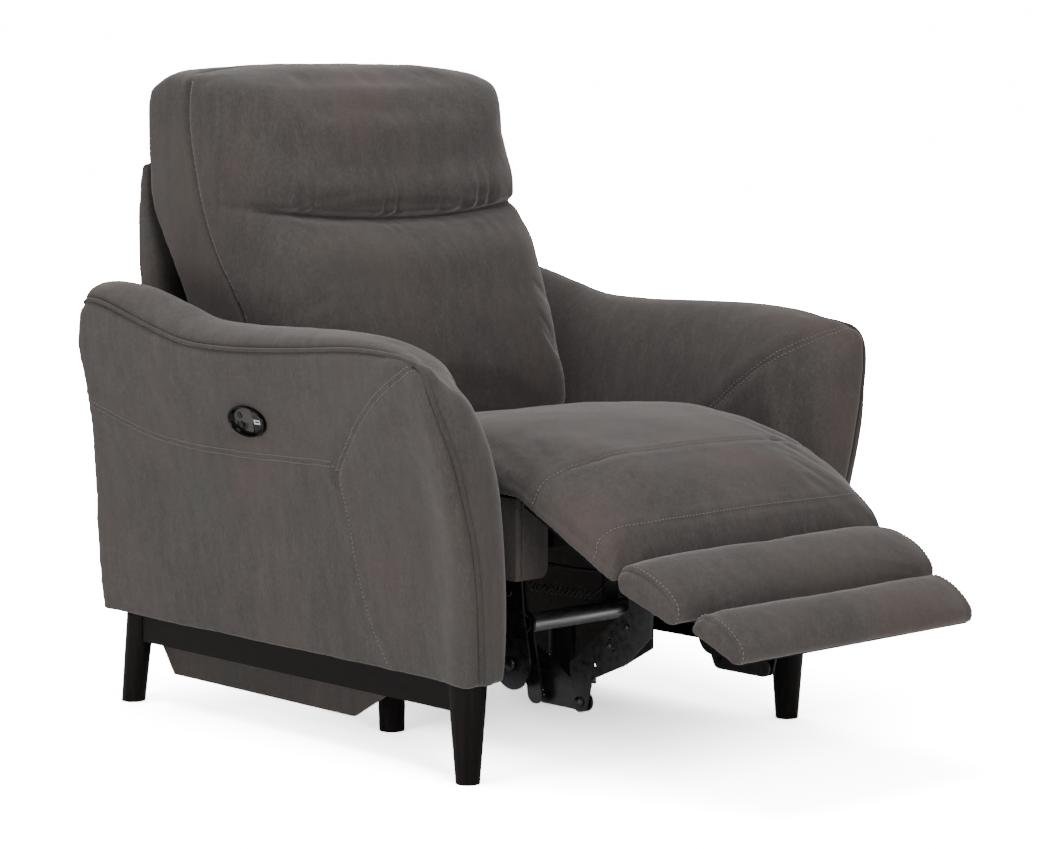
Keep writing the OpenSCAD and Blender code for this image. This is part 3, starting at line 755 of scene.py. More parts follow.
def arm_ring(y):
    """Section of an arm at y, from its bottom outer edge over the top and back along its bottom."""
    top = float(top_welt_z(max(y, ARM_CORNER_Y)))
    rising = np.linspace(ARM_BOTTOM, top, 60)
    outer = np.stack([arm_outer_x(y, rising), rising], 1)
    turn_z = INNER_TURN + INNER_TURN_FRONT * (1 - ease(y, 0.0, 0.22))
    over = arm_crown(outer[-1], np.array([float(arm_inner_x(y, turn_z)), turn_z]), y)
    falling = np.linspace(turn_z, ARM_BOTTOM, 34)[1:]
    inner = np.stack([arm_inner_x(y, falling), falling], 1)
    back = np.linspace(inner[-1], outer[0], 12)[1:-1]
    return np.vstack([outer, over, inner, back])


def arm_point(section, y):
    """The section's points at y, held between the arm's front and rear faces."""
    x, z = section[:, 0], section[:, 1]
    away = 1 - np.clip((x - arm_inner_x(-0.05, z)) / NOSE_WIDTH, 0, 1)
    depth = NOSE_DEPTH * (NOSE_FOOT + (1 - NOSE_FOOT) * ease(z, *NOSE_RISE))
    nose = depth * (1 - np.sqrt(1 - away**2))
    front = front_welt_y(z) + nose - NOSE_BOW * np.sin(math.pi * np.clip((x - 0.29) / 0.12, 0, 1))
    return np.stack([x, np.clip(y, front, arm_rear_y(z)), z], 1)


def arm_rings():
    """Rings of an arm from front to rear, each end closed by rings that shrink towards its middle."""
    front = np.linspace(-0.076, 0.06, 26)
    length = np.linspace(0.07, 0.78, 72)
    rear = np.linspace(0.785, 0.876, 20)
    stations = np.r_[front, length, rear]
    rings = [arm_point(arm_ring(min(y, 0.80)), y) for y in stations]
    for end, first in ((0, True), (-1, False)):
        section = rings[end][:, [0, 2]]
        heart_z = np.clip(section[:, 1], 0.2, 0.56)
        heart = np.stack([(front_welt_x(heart_z) + ARM_INNER) / 2, heart_z], 1)
        caps = [arm_point(heart + (section - heart) * s, stations[end]) for s in (0.75, 0.5, 0.25, 0.0)]
        rings = caps[::-1] + rings if first else rings + caps
    return np.array(rings)


# Seams of an arm, as (x, y, z) on the sitter's left
SIDE_SEAM = [
    (0.44, 0.832, 0.498),
    (0.44, 0.753, 0.477),
    (0.44, 0.660, 0.455),
    (0.44, 0.556, 0.446),
    (0.43, 0.429, 0.446),
    (0.43, 0.308, 0.449),
    (0.43, 0.205, 0.452),
]
FRONT_SEAM = [
    (0.467, -0.034, 0.618),
    (0.460, 0.021, 0.592),
    (0.450, 0.075, 0.560),
    (0.440, 0.132, 0.515),
    (0.428, 0.176, 0.469),
    (0.420, 0.201, 0.440),
]
LOWER_SEAM = [
    (0.420, 0.201, 0.440),
    (0.412, 0.200, 0.380),
    (0.400, 0.197, 0.307),
    (0.388, 0.186, 0.242),
    (0.380, 0.166, 0.185),
    (0.374, 0.150, 0.152),
]
INNER_SEAM = [
    (0.462, -0.026, 0.632),
    (0.420, -0.020, 0.625),
    (0.370, -0.010, 0.610),
    (0.335, 0.018, 0.585),
    (0.312, 0.073, 0.545),
    (0.308, 0.123, 0.504),
    (0.308, 0.175, 0.460),
    (0.308, 0.230, 0.410),
]


def ripple_seam(piece, line, height, reach):
    """Small puckers across a seam, which die out away from it."""
    points = points_of(piece)
    near = distance_to(points, line)
    ripple = np.array([noise.noise(Vector((p[1] * 42, p[2] * 8, 3.1))) for p in points])
    push(piece, height * ripple * np.exp(-near / reach))


def make_arm():
    """The sitter's left arm, and the line of its welt."""
    arm = loft("arm_cover_l", arm_rings())
    remesh(arm)
    relax(arm, 10)
    welt_line, _ = Cover(arm).lay(place(spline(ARM_WELT, 420)), -WELT_SUNK)
    for _ in range(WELT_SMOOTHING):
        welt_line[1:-1] = (welt_line[:-2] + 2 * welt_line[1:-1] + welt_line[2:]) / 4
    for seam in (SIDE_SEAM, FRONT_SEAM, INNER_SEAM):
        sink_seam(arm, place(spline(seam, 200)), **ARM_GROOVE)
    sink_seam(arm, place(spline(LOWER_SEAM, 120)), **SINGLE_GROOVE)
    sink_seam(arm, welt_line, **WELT_GROOVE)
    undulate(arm, ARM_WAVES)
    ripple_seam(arm, place(spline(SIDE_SEAM, 200)), 0.0011, 0.03)
    return arm, welt_line


def mirror_copy(piece, name):
    mesh = piece.data.copy()
    mesh.name = name
    made = bpy.data.objects.new(name, mesh)
    bpy.context.scene.collection.objects.link(made)
    set_points(made, mirrored(points_of(made)))
    mesh.flip_normals()
    return made


def build_arms():
    left, welt_line = make_arm()
    right = mirror_copy(left, "arm_cover_r")
    for side, piece, turn in (("l", left, np.asarray), ("r", right, mirrored)):
        finish_piece(piece, "base", MATERIALS["suede"], [f"arm_pad_{side}"])
        cover = Cover(piece)
        tube(f"arm_welt_{side}", turn(welt_line), WELT, "base", MATERIALS["welt"])
        rows = []
        for seam in (SIDE_SEAM, FRONT_SEAM, INNER_SEAM):
            line = turn(spline(seam, 160))
            rows += [(line, ROW_GAP / 2), (line, -ROW_GAP / 2)]
        rows.append((turn(spline(LOWER_SEAM, 120)), ROW_GAP_SINGLE))
        sew(f"arm_thread_{side}", cover, rows, "base")


# ---------- pieces that run straight across the chair ----------


def cross_piece(name, half, profile, stations=60):
    """A closed piece across the chair. profile(share) is its [y, z] outline at a share of the half width."""
    shares = np.sin(np.linspace(-math.pi / 2, math.pi / 2, stations))
    rings = []
    for share in shares:
        outline = profile(share)
        rings.append(np.column_stack([np.full(len(outline), share * half), outline]))
    return loft(name, np.array(rings))


def closed_outline(*runs):
    """One closed outline from runs of points, without repeating where they meet."""
    return np.vstack([run[:-1] for run in runs])


# ---------- back ----------

# Profiles of the back cover as (y, z): the front face, the seam set back on its sides, and the rear
BACK_FRONT = [
    (0.427, 0.462),
    (0.418, 0.520),
    (0.434, 0.596),
    (0.456, 0.662),
    (0.494, 0.744),
    (0.524, 0.785),
    (0.543, 0.815),
    (0.554, 0.869),
    (0.566, 0.928),
    (0.579, 0.983),
    (0.596, 1.006),
]
BACK_SEAM = [
    (0.500, 0.462),
    (0.520, 0.520),
    (0.548, 0.580),
    (0.578, 0.638),
    (0.607, 0.679),
    (0.634, 0.714),
    (0.661, 0.755),
    (0.681, 0.799),
    (0.697, 0.846),
    (0.711, 0.901),
    (0.717, 0.965),
    (0.712, 1.006),
]
BACK_TOP_Y = 0.806
BACK_OVER = [(0.0, 0.0), (0.14, 0.42), (0.36, 0.82), (0.66, 1.0), (0.90, 0.80)]
BACK_REAR = [
    (0.830, 0.965),
    (0.829, 0.880),
    (0.820, 0.811),
    (0.796, 0.763),
    (0.766, 0.716),
    (0.735, 0.663),
    (0.680, 0.580),
    (0.640, 0.520),
    (0.620, 0.474),
]
back_front_y = smooth_table([(z, y) for y, z in BACK_FRONT])
back_seam_y = smooth_table([(z, y) for y, z in BACK_SEAM])
BACK_SIDE = BACK_HALF + 0.001
BACK_CAP = 0.010
BACK_ROW_SHIFT = 0.0065
TOP_SEAM_Z = 1.030

# The tuck: how deep it is sewn in, how far the cover swells above and below it, and its gathers
TUCK_DEPTH = 0.024
TUCK_DRAW = 0.013
HEAD_SWELL = 0.013
LUMBAR_SWELL = 0.006
GATHER_DEPTH = 0.0050
GATHER_PITCH = 0.037


def shoulder(share, flat=11, turn=2.8):
    """1 over the flat middle of a cushion, falling to 0 at its sides in a round shoulder."""
    return (1 - np.minimum(1, np.abs(share)) ** flat) ** (1 / turn)


def back_outline(share):
    g = shoulder(share)
    rising = np.linspace(BACK_FRONT[0][1], BACK_FRONT[-1][1] - 0.006 * (1 - g), 90)
    depth = back_seam_y(rising) * (1 - g) + back_front_y(rising) * g - 0.008 * (1 - share**2)
    front = np.stack([depth, rising], 1)
    rear = spline(BACK_REAR, 60)
    lift = 0.006 + 0.020 * shoulder(share, 12, 2)
    start = front[-1]
    over = [start + [(BACK_TOP_Y - start[0]) * along, lift * up] for along, up in BACK_OVER]
    top = spline(over + [(0.824, 0.996), rear[0]], 44)
    return closed_outline(front, top, rear)


def tuck_z(x):
    """Height of the tuck below the headrest, which sags in the middle."""
    return TUCK - 0.012 + 0.024 * (np.abs(x) / BACK_HALF) ** 2.2


def press_tuck(piece):
    """Sews the cover in along the tuck, with the headrest swelling over it and gathers on both sides."""
    points = points_of(piece)
    x, y, z = points[:, 0], points[:, 1] - LEG_LINE, points[:, 2]
    above = z - tuck_z(x)
    face = 1 - ease(y, back_seam_y(z) - 0.035, back_seam_y(z) - 0.004)
    open_part = 0.45 + 0.55 * (1 - ease(np.abs(x), 0.20, BACK_HALF))
    crease = TUCK_DEPTH * np.exp(-((above / 0.0070) ** 2)) + TUCK_DRAW * np.exp(-np.abs(above) / 0.015)
    bulge = HEAD_SWELL * np.exp(-(((above - 0.042) / 0.034) ** 2))
    bulge += LUMBAR_SWELL * np.exp(-(((above + 0.05) / 0.04) ** 2))
    wander = np.array([noise.noise(Vector((v * 11, 2.7, 0.4))) for v in x])
    strength = np.array([noise.noise(Vector((v * 17, 9.1, 1.3))) for v in x])
    waves = np.sin(2 * math.pi * (x / GATHER_PITCH + 1.9 * wander))
    folds = waves * np.clip(0.6 + 1.3 * strength, 0.0, 1.2)
    reach = np.where(above > 0, np.exp(-above / 0.044), 0.45 * np.exp(above / 0.030))
    reach *= 1 - np.exp(-((above / 0.006) ** 2))
    points[:, 1] += face * open_part * (crease - bulge) - face * GATHER_DEPTH * folds * reach
    set_points(piece, points)


def back_pins(piece):
    """True for the points of the back cover that are fixed to its frame, its side seams and the tuck."""
    x, y, z = (points_of(piece) - [0, LEG_LINE, 0]).T
    rising = BACK_REAR[::-1]
    rear = np.interp(z, [p[1] for p in rising], [p[0] for p in rising])
    at_rear = y > rear - 0.02
    at_seam = (np.abs(y - back_seam_y(z)) < 0.006) & (np.abs(x) > BACK_SIDE - 0.02)
    at_tuck = (np.abs(z - tuck_z(x)) < 0.006) & (y < 0.62)
    return at_rear | at_seam | at_tuck


def build_back():
    cover_piece = cross_piece("back_cover", BACK_SIDE, back_outline, 90)
    remesh(cover_piece, LARGE_VOXEL)
    relax(cover_piece, 6)
    swell(cover_piece, back_pins(cover_piece), 4.0, BACK_CAP)
    relax(cover_piece, 2)
    subdivide(cover_piece)
    press_tuck(cover_piece)
    relax(cover_piece, 2)
    side_seams = []
    for sign in (-1, 1):
        side_seams.append([(sign * BACK_SIDE, y, z) for y, z in spline(BACK_SEAM[2:], 120)])
        sink_seam(cover_piece, place(side_seams[-1]), **BACK_SIDE_GROOVE)
    over_top = [(x, BACK_SEAM[-1][0], TOP_SEAM_Z) for x in np.linspace(-BACK_SIDE, BACK_SIDE, 160)]
    sink_seam(cover_piece, place(over_top), **BACK_TOP_GROOVE)
    undulate(cover_piece, BACK_WAVES)
    finish_piece(cover_piece, "back", MATERIALS["suede"], ["back_cushion", "head_cushion"])
    rows = [(side_seams[0], -BACK_ROW_SHIFT), (side_seams[1], BACK_ROW_SHIFT)]
    sew("back_thread", Cover(cover_piece), rows, "back")
    build_back_panel()


# The outer back panel narrows below its taper's top to this share of its width
PANEL_SIDE = PANEL_HIGH.x
PANEL_TAPER_TOP = 0.64
PANEL_FOOT = 0.272 / 0.296


def back_panel_outline(share):
    low, high = PANEL_LOW.z, PANEL_HIGH.z
    top = high + 0.018 - 0.012 * abs(share) ** 8
    front = spline([(0.800, low), (0.806, 0.45), (0.814, 0.70), (0.834, 0.80), (0.836, top - 0.012)], 40)
    over = spline([front[-1], (0.842, top), (0.850, top - 0.008)], 12)
    rear = spline([over[-1], (0.860, 0.80), (0.859, 0.70), (0.850, 0.50), (0.842, low)], 40)
    return closed_outline(front, over, rear, np.linspace(rear[-1], front[0], 8))


def build_back_panel():
    panel = cross_piece("back_panel_cover", PANEL_SIDE, back_panel_outline)
    points = points_of(panel)
    points[:, 0] *= np.interp(points[:, 2], [PANEL_LOW.z, PANEL_TAPER_TOP], [PANEL_FOOT, 1])
    set_points(panel, points)
    remesh(panel, LARGE_VOXEL)
    relax(panel, 5)
    subdivide(panel)
    undulate(panel, PANEL_WAVES)
    finish_piece(panel, "back", MATERIALS["suede"], ["back_panel"])


# ---------- seat and leg rest ----------

# Profiles of the seat cover as (y, z), from the back over the hinge to the middle pad
SEAT_TOP = [
    (0.510, 0.440),
    (0.450, 0.450),
    (0.400, 0.462),
    (0.300, 0.486),
    (0.200, 0.502),
    (0.110, 0.507),
    (0.033, 0.502),
    (-0.030, 0.492),
    (-0.088, 0.479),
    (-0.129, 0.464),
    (-0.170, 0.444),
    (-0.208, 0.420),
    (-0.238, 0.388),
    (-0.250, 0.354),
    (-0.245, 0.334),
]
SEAT_SIDE = [
    (0.510, 0.434),
    (0.450, 0.440),
    (0.400, 0.448),
    (0.300, 0.460),
    (0.200, 0.466),
    (0.110, 0.466),
    (0.033, 0.456),
    (-0.030, 0.438),
    (-0.071, 0.421),
    (-0.105, 0.402),
    (-0.140, 0.385),
    (-0.180, 0.367),
    (-0.220, 0.345),
    (-0.240, 0.326),
]
SEAT_UNDER = [
    (-0.2405, 0.3165),
    (-0.150, 0.3625),
    (-0.080, 0.398),
    (-0.052, 0.4145),
    (0.05, 0.4155),
    (0.510, 0.4155),
]
SEAT_EDGE_X = SEAT_HALF - 0.003
FIRST_SEAM_Y = -0.112
SECOND_SEAM_Y = -0.234
FIRST_SEAM_DROP = 0.026
SECOND_SEAM_DROP = 0.022
ROW_BOW = 0.020
SEAT_CAP = 0.008
SEAT_ROUND = (7, 2.2)


def seat_dome(share, y):
    """How far the top falls away from the middle, which is more over the seat than over the leg rest."""
    return (0.003 + 0.009 * ease(y, -0.10, 0.06)) * share**2


def seat_outline(share):
    g = shoulder(share, *SEAT_ROUND)
    middle_line = spline(SEAT_TOP, 150)
    middle_line[:, 1] -= seat_dome(share, middle_line[:, 0])
    top = spline(SEAT_SIDE, 150) * (1 - g) + middle_line * g
    under = np.vstack([np.linspace(a, b, 30) for a, b in zip(SEAT_UNDER[:-1], SEAT_UNDER[1:])])
    nose = np.linspace(top[-1], under[0], 6)
    rear = np.linspace(under[-1], top[0], 6)
    return closed_outline(top, nose, under, rear)


def seat_row(row_y, drop_y):
    """A seam over the seat cover from its lower left edge to its lower right edge."""
    shares = np.linspace(-0.985, 0.985, 150)
    side = smooth_table(SEAT_SIDE[::-1])
    top = smooth_table(SEAT_TOP[::-1])
    g = shoulder(shares, *SEAT_ROUND)
    y = row_y + ROW_BOW * shares**6
    z = side(y) * (1 - g) + (top(y) - seat_dome(shares, y)) * g
    over = np.column_stack([shares * SEAT_EDGE_X, y, z])
    end = np.array([SEAT_EDGE_X, drop_y, float(side(drop_y)) - 0.004])
    return np.vstack([end * [-1, 1, 1], over, end])


def build_seat():
    seat = cross_piece("seat_cover", SEAT_EDGE_X, seat_outline, 90)
    remesh(seat, LARGE_VOXEL)
    relax(seat, 6)
    points = points_of(seat) - [0, LEG_LINE, 0]
    under = np.interp(points[:, 1], [p[0] for p in SEAT_UNDER], [p[1] for p in SEAT_UNDER])
    swell(seat, points[:, 2] < under + 0.006, 3.0, SEAT_CAP)
    relax(seat, 2)
    subdivide(seat)
    rows = [
        seat_row(FIRST_SEAM_Y, FIRST_SEAM_Y + FIRST_SEAM_DROP),
        seat_row(SECOND_SEAM_Y, SECOND_SEAM_Y + SECOND_SEAM_DROP),
    ]
    for row in rows:
        sink_seam(seat, place(evenly(row, 400)), **SEAT_ROW_GROOVE)
    for sign in (-1, 1):
        edge = [(sign * SEAT_EDGE_X, y, z + 0.004) for y, z in spline(SEAT_SIDE[7:], 90)]
        sink_seam(seat, place(edge), **SEAT_EDGE_GROOVE)
    undulate(seat, SEAT_WAVES)
    finish_piece(seat, None, MATERIALS["suede"], ["seat_cushion", "legrest_pad"])
    cover = Cover(seat)
    first = sew("seam_thread_first", cover, [(rows[0], ROW_GAP_SINGLE)], None)
    second = sew("seam_thread_second", cover, [(rows[1], ROW_GAP_SINGLE)], None)
    for piece in (seat, first, second):
        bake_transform(piece)


# Cloth that closes the gap between the seat and the back, as (y, z) up its front and down its rear
GUSSET_FRONT = [(0.470, 0.428), (0.476, 0.446), (0.470, 0.470), (0.462, 0.500)]
GUSSET_REAR = [(0.472, 0.500), (0.482, 0.470), (0.488, 0.446), (0.482, 0.428)]
GUSSET_HALF = 0.268


def gusset_outline(share):
    """The gusset's section, which is the same right across the chair."""
    top = np.linspace(GUSSET_FRONT[-1], GUSSET_REAR[0], 5)
    foot = np.linspace(GUSSET_REAR[-1], GUSSET_FRONT[0], 5)
    return closed_outline(spline(GUSSET_FRONT, 30), top, spline(GUSSET_REAR, 30), foot)


def build_gusset():
    gusset = cross_piece("seat_back_gusset", GUSSET_HALF, gusset_outline)
    undulate(gusset, GUSSET_WAVES)
    finish_piece(gusset, None, MATERIALS["suede"])
    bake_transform(gusset)


# ---------- end pads of the leg rest ----------


class PadShape:
    """A pad's outline at its ends and its middle, as (y, z) from its rear top over the nose and back below."""

    def __init__(self, end_top, middle_top, nose, front_low, rear_low):
        self.end_top, self.middle_top = end_top, middle_top
        self.nose, self.front_low, self.rear_low = nose, front_low, rear_low

    def outline(self, share):
        g = shoulder(share, 6, 2)
        top = spline(self.end_top, 60) * (1 - g) + spline(self.middle_top, 60) * g
        nose = spline([top[-1], np.array(self.nose) - [0.006 * g, 0], self.front_low], 20)
        low = np.linspace(self.front_low, self.rear_low, 40)
        return closed_outline(top, nose, low, np.linspace(self.rear_low, top[0], 10))


MID_SHAPE = PadShape(
    [(-0.241, 0.330), (-0.262, 0.334), (-0.300, 0.325), (-0.336, 0.306), (-0.349, 0.293)],
    [(-0.241, 0.337), (-0.262, 0.352), (-0.300, 0.347), (-0.335, 0.327), (-0.354, 0.303)],
    (-0.352, 0.284),
    (-0.346, 0.2675),
    (-0.2405, 0.3035),
)
END_SHAPE = PadShape(
    [(-0.362, 0.272), (-0.378, 0.281), (-0.400, 0.276), (-0.425, 0.263), (-0.444, 0.247)],
    [(-0.362, 0.278), (-0.380, 0.290), (-0.402, 0.286), (-0.430, 0.272), (-0.450, 0.251)],
    (-0.449, 0.237),
    (-0.446, 0.2215),
    (-0.362, 0.2555),
)


PAD_ROW_INSET = 0.011
PAD_EDGE_INSET = 0.002
PAD_CAP = 0.004


def build_pad(name, node, half, shape, body, seed):
    pad = cross_piece(name, half, shape.outline, 70)
    remesh(pad)
    relax(pad, 5)
    points = points_of(pad) - [0, LEG_LINE, 0]
    low, rear = np.array(shape.front_low), np.array(shape.rear_low)
    base = low[1] + (points[:, 1] - low[0]) * (rear[1] - low[1]) / (rear[0] - low[0])
    swell(pad, points[:, 2] < base + 0.004, 3.0, PAD_CAP)
    relax(pad, 1)
    subdivide(pad)
    front = spline([shape.end_top[-1], shape.nose, shape.front_low], 20)
    line = np.vstack([spline(shape.end_top, 60), front[1:]])
    rows = []
    for sign in (-1, 1):
        rows.append([(sign * (half - PAD_ROW_INSET), y, z + 0.004) for y, z in line])
        edge = [(sign * (half - PAD_EDGE_INSET), y, z + 0.001) for y, z in line]
        sink_seam(pad, place(edge), **PAD_EDGE_GROOVE)
    undulate(pad, [(0.0016, 0.08, (1, 1, 1), seed), (0.0006, 0.03, (1, 1, 1), seed + 4)])
    finish_piece(pad, body, MATERIALS["suede"], [node])
    sew(f"{name}_thread", Cover(pad), [(row, 0.0) for row in rows], body)


def build_pads():
    build_pad("mid_cover", "mid_pad", MID_HALF, MID_SHAPE, "mid_rest", 4.1)
    build_pad("end_cover", "end_pad", END_HALF, END_SHAPE, "end_rest", 6.4)


# ---------- hardware of the mechanism ----------

BOLT_RADIUS = 0.0085
RIVET_RADIUS = 0.0052

# Bolt and rivet heads on the outer faces of the plates: node, body, and (y, z, radius) of each
HEADS = [
    (
        "legrest_plate",
        "legrest",
        [(-0.087, 0.113, BOLT_RADIUS), (-0.118, 0.150, RIVET_RADIUS), (-0.150, 0.205, RIVET_RADIUS)]
        + [(-0.030, 0.400, BOLT_RADIUS), (-0.185, 0.236, RIVET_RADIUS)],
    ),
    ("seat_plate", "seat", [(0.060, 0.375, BOLT_RADIUS), (0.160, 0.370, RIVET_RADIUS)]),
]


def head_mesh(centre, radius, sign):
    """Vertices and faces of a domed head that stands out along x."""
    profile = [(1.0, 0.0), (1.0, 0.18), (0.86, 0.42), (0.5, 0.58), (0.12, 0.62)]
    turns = np.linspace(0, 2 * math.pi, 20, endpoint=False)
    vertices = []
    for share, rise in profile:
        for turn in turns:
            step = (sign * rise * radius, share * radius * math.cos(turn), share * radius * math.sin(turn))
            vertices.append(np.asarray(centre) + step)
    return vertices, ring_faces(len(profile), len(turns))


def build_heads():
    for node, body, spots in HEADS:
        for side, sign in (("r", -1), ("l", 1)):
            low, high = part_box(f"{node}_{side}")
            face_x = high.x if sign > 0 else low.x
            heads = [head_mesh((face_x, y + LEG_LINE, z), radius, sign) for y, z, radius in spots]
            piece = add_object(f"{node}_heads_{side}", *join_meshes(heads))
            finish_piece(piece, body, MATERIALS["steel"])


HANGER_X = 0.2245
HANGER = [(0.012, 0.300), (0.006, 0.230), (-0.002, 0.190), (-0.006, 0.155), (0.010, 0.125), (0.035, 0.117)]
HANGER += [(0.062, 0.130), (0.074, 0.158), (0.070, 0.195), (0.058, 0.240), (0.056, 0.300)]
HANGER_THICKNESS = 0.0035
HANGER_HEADS = [(0.035, 0.155, 0.011), (0.036, 0.262, 0.006)]


def hanger_ring(sign, offset, inset):
    """The hanger's outline at an offset through its thickness, drawn in on the faces."""
    outline = spline(HANGER, 60)
    heart = outline.mean(0)
    section = heart + (outline - heart) * inset
    x = np.full(len(section), sign * (HANGER_X + offset * HANGER_THICKNESS))
    return np.column_stack([x, section])


def build_hangers():
    """Rounded link plates that hang outside the cranks."""
    steel = MATERIALS["steel"]
    for side, sign in (("r", -1), ("l", 1)):
        layers = [(-0.5, 0.985), (-0.42, 1.0), (0.42, 1.0), (0.5, 0.985)]
        rings = [hanger_ring(sign, offset, inset) for offset, inset in layers]
        plate = loft(f"hanger_{side}", np.array(rings))
        finish_piece(plate, "seat", steel, smooth=False)
        face_x = sign * (HANGER_X + HANGER_THICKNESS / 2)
        heads = [head_mesh((face_x, y + LEG_LINE, z), radius, sign) for y, z, radius in HANGER_HEADS]
        heads_piece = add_object(f"hanger_heads_{side}", *join_meshes(heads))
        finish_piece(heads_piece, "seat", steel)


SPRING_FROM = (-0.165, 0.060, 0.262)
SPRING_TO = (-0.105, -0.012, 0.250)
COIL_RADIUS = 0.0056
COIL_TURNS = 13
COIL_WIRE = 0.0011
HOOK_WIRE = 0.0012
CABLE_RADIUS = 0.0032
CABLE = [(-0.150, 0.10, 0.300), (-0.08, 0.02, 0.281), (0.02, -0.01, 0.278), (0.15, 0.02, 0.288)]


def build_spring():
    """Small coil spring between the torque tube and the seat's frame, its hook wire and the motor's cable."""
    start, end = np.array(SPRING_FROM), np.array(SPRING_TO)
    forward = (end - start) / np.linalg.norm(end - start)
    side = np.cross(forward, [0, 0, 1])
    side /= np.linalg.norm(side)
    up = np.cross(side, forward)
    t = np.linspace(0, 1, COIL_TURNS * 18)
    turn = 2 * math.pi * COIL_TURNS * t
    around = np.outer(np.cos(turn), side) + np.outer(np.sin(turn), up)
    coil = start + np.outer(t, end - start) + COIL_RADIUS * around
    tube("return_spring", place(coil), COIL_WIRE, "seat", MATERIALS["steel"], 8)
    hook = [end, end + [0.02, -0.004, 0.012], end + [0.05, 0.0, 0.05], end + [0.05, 0.005, 0.10]]
    wire = place(spline(hook, 40))
    tube("spring_wire_front", wire, HOOK_WIRE, "seat", MATERIALS["steel"], 8)
    cable = place(spline(CABLE, 60))
    tube("motor_cable", cable, CABLE_RADIUS, "seat", MATERIALS["plastic_black"], 10)


SWITCH_TILT = math.radians(15)
# Section of the oval switch plate, as (share of its size, height over its face), from its buried rim inwards
BEZEL_SECTION = [
    (1.0, -0.009),
    (1.0, 0.0),
    (0.99, 0.0020),
    (0.96, 0.0031),
    (0.92, 0.0026),
    (0.86, 0.0004),
]
# The floor inside the rim: shares of the plate's size, and its depth at the socket and at the buttons
BEZEL_FLOOR = [0.80, 0.4, 0.02]
SOCKET_DEPTH = 0.0030
BUTTON_DEPTH = 0.0068
FLOOR_STEP = (-0.013, -0.003)


def bezel_frame():
    """Centre, half length and half height of the switch plate's face, and its outward and upward axes."""
    low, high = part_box("switch_bezel")
    deep, tall = high.x - low.x, high.z - low.z
    c, d = math.cos(SWITCH_TILT), math.sin(SWITCH_TILT)
    plate_height = (tall * c - deep * d) / (c * c - d * d)
    plate_depth = (deep * c - tall * d) / (c * c - d * d)
    out, up = np.array([-c, 0, -d]), np.array([-d, 0, c])
    face = np.array([low.x, (low.y + high.y) / 2, high.z - plate_depth * d]) - up * plate_height / 2
    return face, (high.y - low.y) / 2, plate_height / 2, out, up


def build_bezel():
    """Oval switch plate: a polished raised rim round a floor that drops towards the buttons."""
    face, half_length, half_height, out, up = bezel_frame()
    turns = np.linspace(0, 2 * math.pi, 72, endpoint=False)
    along = np.cos(turns) * half_length
    rise = np.sin(turns) * half_height
    layers = [(share, np.full(len(turns), height)) for share, height in BEZEL_SECTION]
    for share in BEZEL_FLOOR:
        step = ease(along * share, *FLOOR_STEP)
        layers.append((share, -SOCKET_DEPTH - (BUTTON_DEPTH - SOCKET_DEPTH) * step))
    rings = []
    for share, lift in layers:
        ring = face + np.outer(rise * share, up) + np.outer(lift, out)
        ring[:, 1] += along * share - LEG_LINE
        rings.append(ring)
    bezel = loft("switch_bezel_cover", np.array(rings))
    subdivide(bezel)
    finish_piece(bezel, "base", MATERIALS["plastic_gloss"], ["switch_bezel"])


def build_box_welts():
    """Corner seams on the fronts of the seat's side boxes."""
    for side, sign in (("r", -1), ("l", 1)):
        low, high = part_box(f"seat_box_{side}")
        x = sign * (max(abs(low.x), abs(high.x)) - 0.012)
        line = [(x, low.y - 0.0003, z) for z in np.linspace(low.z + 0.004, high.z - 0.004, 40)]
        tube(f"seat_box_welt_{side}", line, BOX_WELT, "seat", MATERIALS["welt"], 10)


def build_hardware():
    build_heads()
    build_hangers()
    build_spring()
    build_bezel()
    build_box_welts()


# ---------- finishes of the CAD nodes ----------


def both(*names):
    """The right and left nodes of each name."""
    return [f"{name}_{side}" for name in names for side in ("r", "l")]


NODE_FINISH = {
    "wood_leg": both("front_leg", "rear_leg", "centre_leg"),
    "wood_side": both("side_apron", "arm_frame"),
    "wood_cross": ["rear_apron"],
    "suede": both("side_valance", "seat_box"),
    "ply": ["seat_rear_rail", "back_rails"] + both("back_stile"),
    "lining": ["seat_front_rail", "legrest_board", "mid_board", "end_board"],
    "steel": both("glide_rail", "seat_plate", "legrest_plate")
    + ["centre_cross_plate", "seat_cross_tube", "legrest_cross_tube", "back_brackets", "mid_brackets"]
    + ["end_straps", "cranks", "drag_links", "motor_track"],
    "zinc": ["torque_tube"],
    "spring": ["seat_springs", "back_springs"],
    "plastic_black": ["power_inlet", "glide_shoes", "motor_housing", "motor_slider"],
    "plastic_grey": ["switch_disc", "button_open", "button_close"],
    # The socket's pale colour is partly its own plastic and partly a painted highlight
    "plastic_white": ["usb_port"],
}
EDGE_ROUND = {"wood": 0.0015, "suede": 0.0025, "steel": 0.0008, "zinc": 0.0008, "plastic": 0.0006}


def finish_nodes():
    for key, names in NODE_FINISH.items():
        round_by = EDGE_ROUND.get(key.split("_")[0])
        for name in names:
            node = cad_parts[name]
            node.data.materials.clear()
            node.data.materials.append(MATERIALS[key])
            if round_by:
                bevel = node.modifiers.new("soft_edges", "BEVEL")
                bevel.width = round_by
                bevel.segments = 3
                bevel.limit_method = "ANGLE"
                bevel.angle_limit = math.radians(40)

# ---------- scene ----------

VIEW_AZIMUTH = -42.937
VIEW_ELEVATION = 6.43
VIEW_DISTANCE = 4.827
VIEW_AIM = (0.0, 0.2396, 0.4772)
LENS = 105.28
SENSOR = 36

FLOOR_SIZE = 14
WORLD_LIGHT = 0.34
BACKDROP_LIGHT = 16.0
FLOOR_NEAR = 22
FLOOR_FAR = 120
HEART = (0, 0, 0.5)

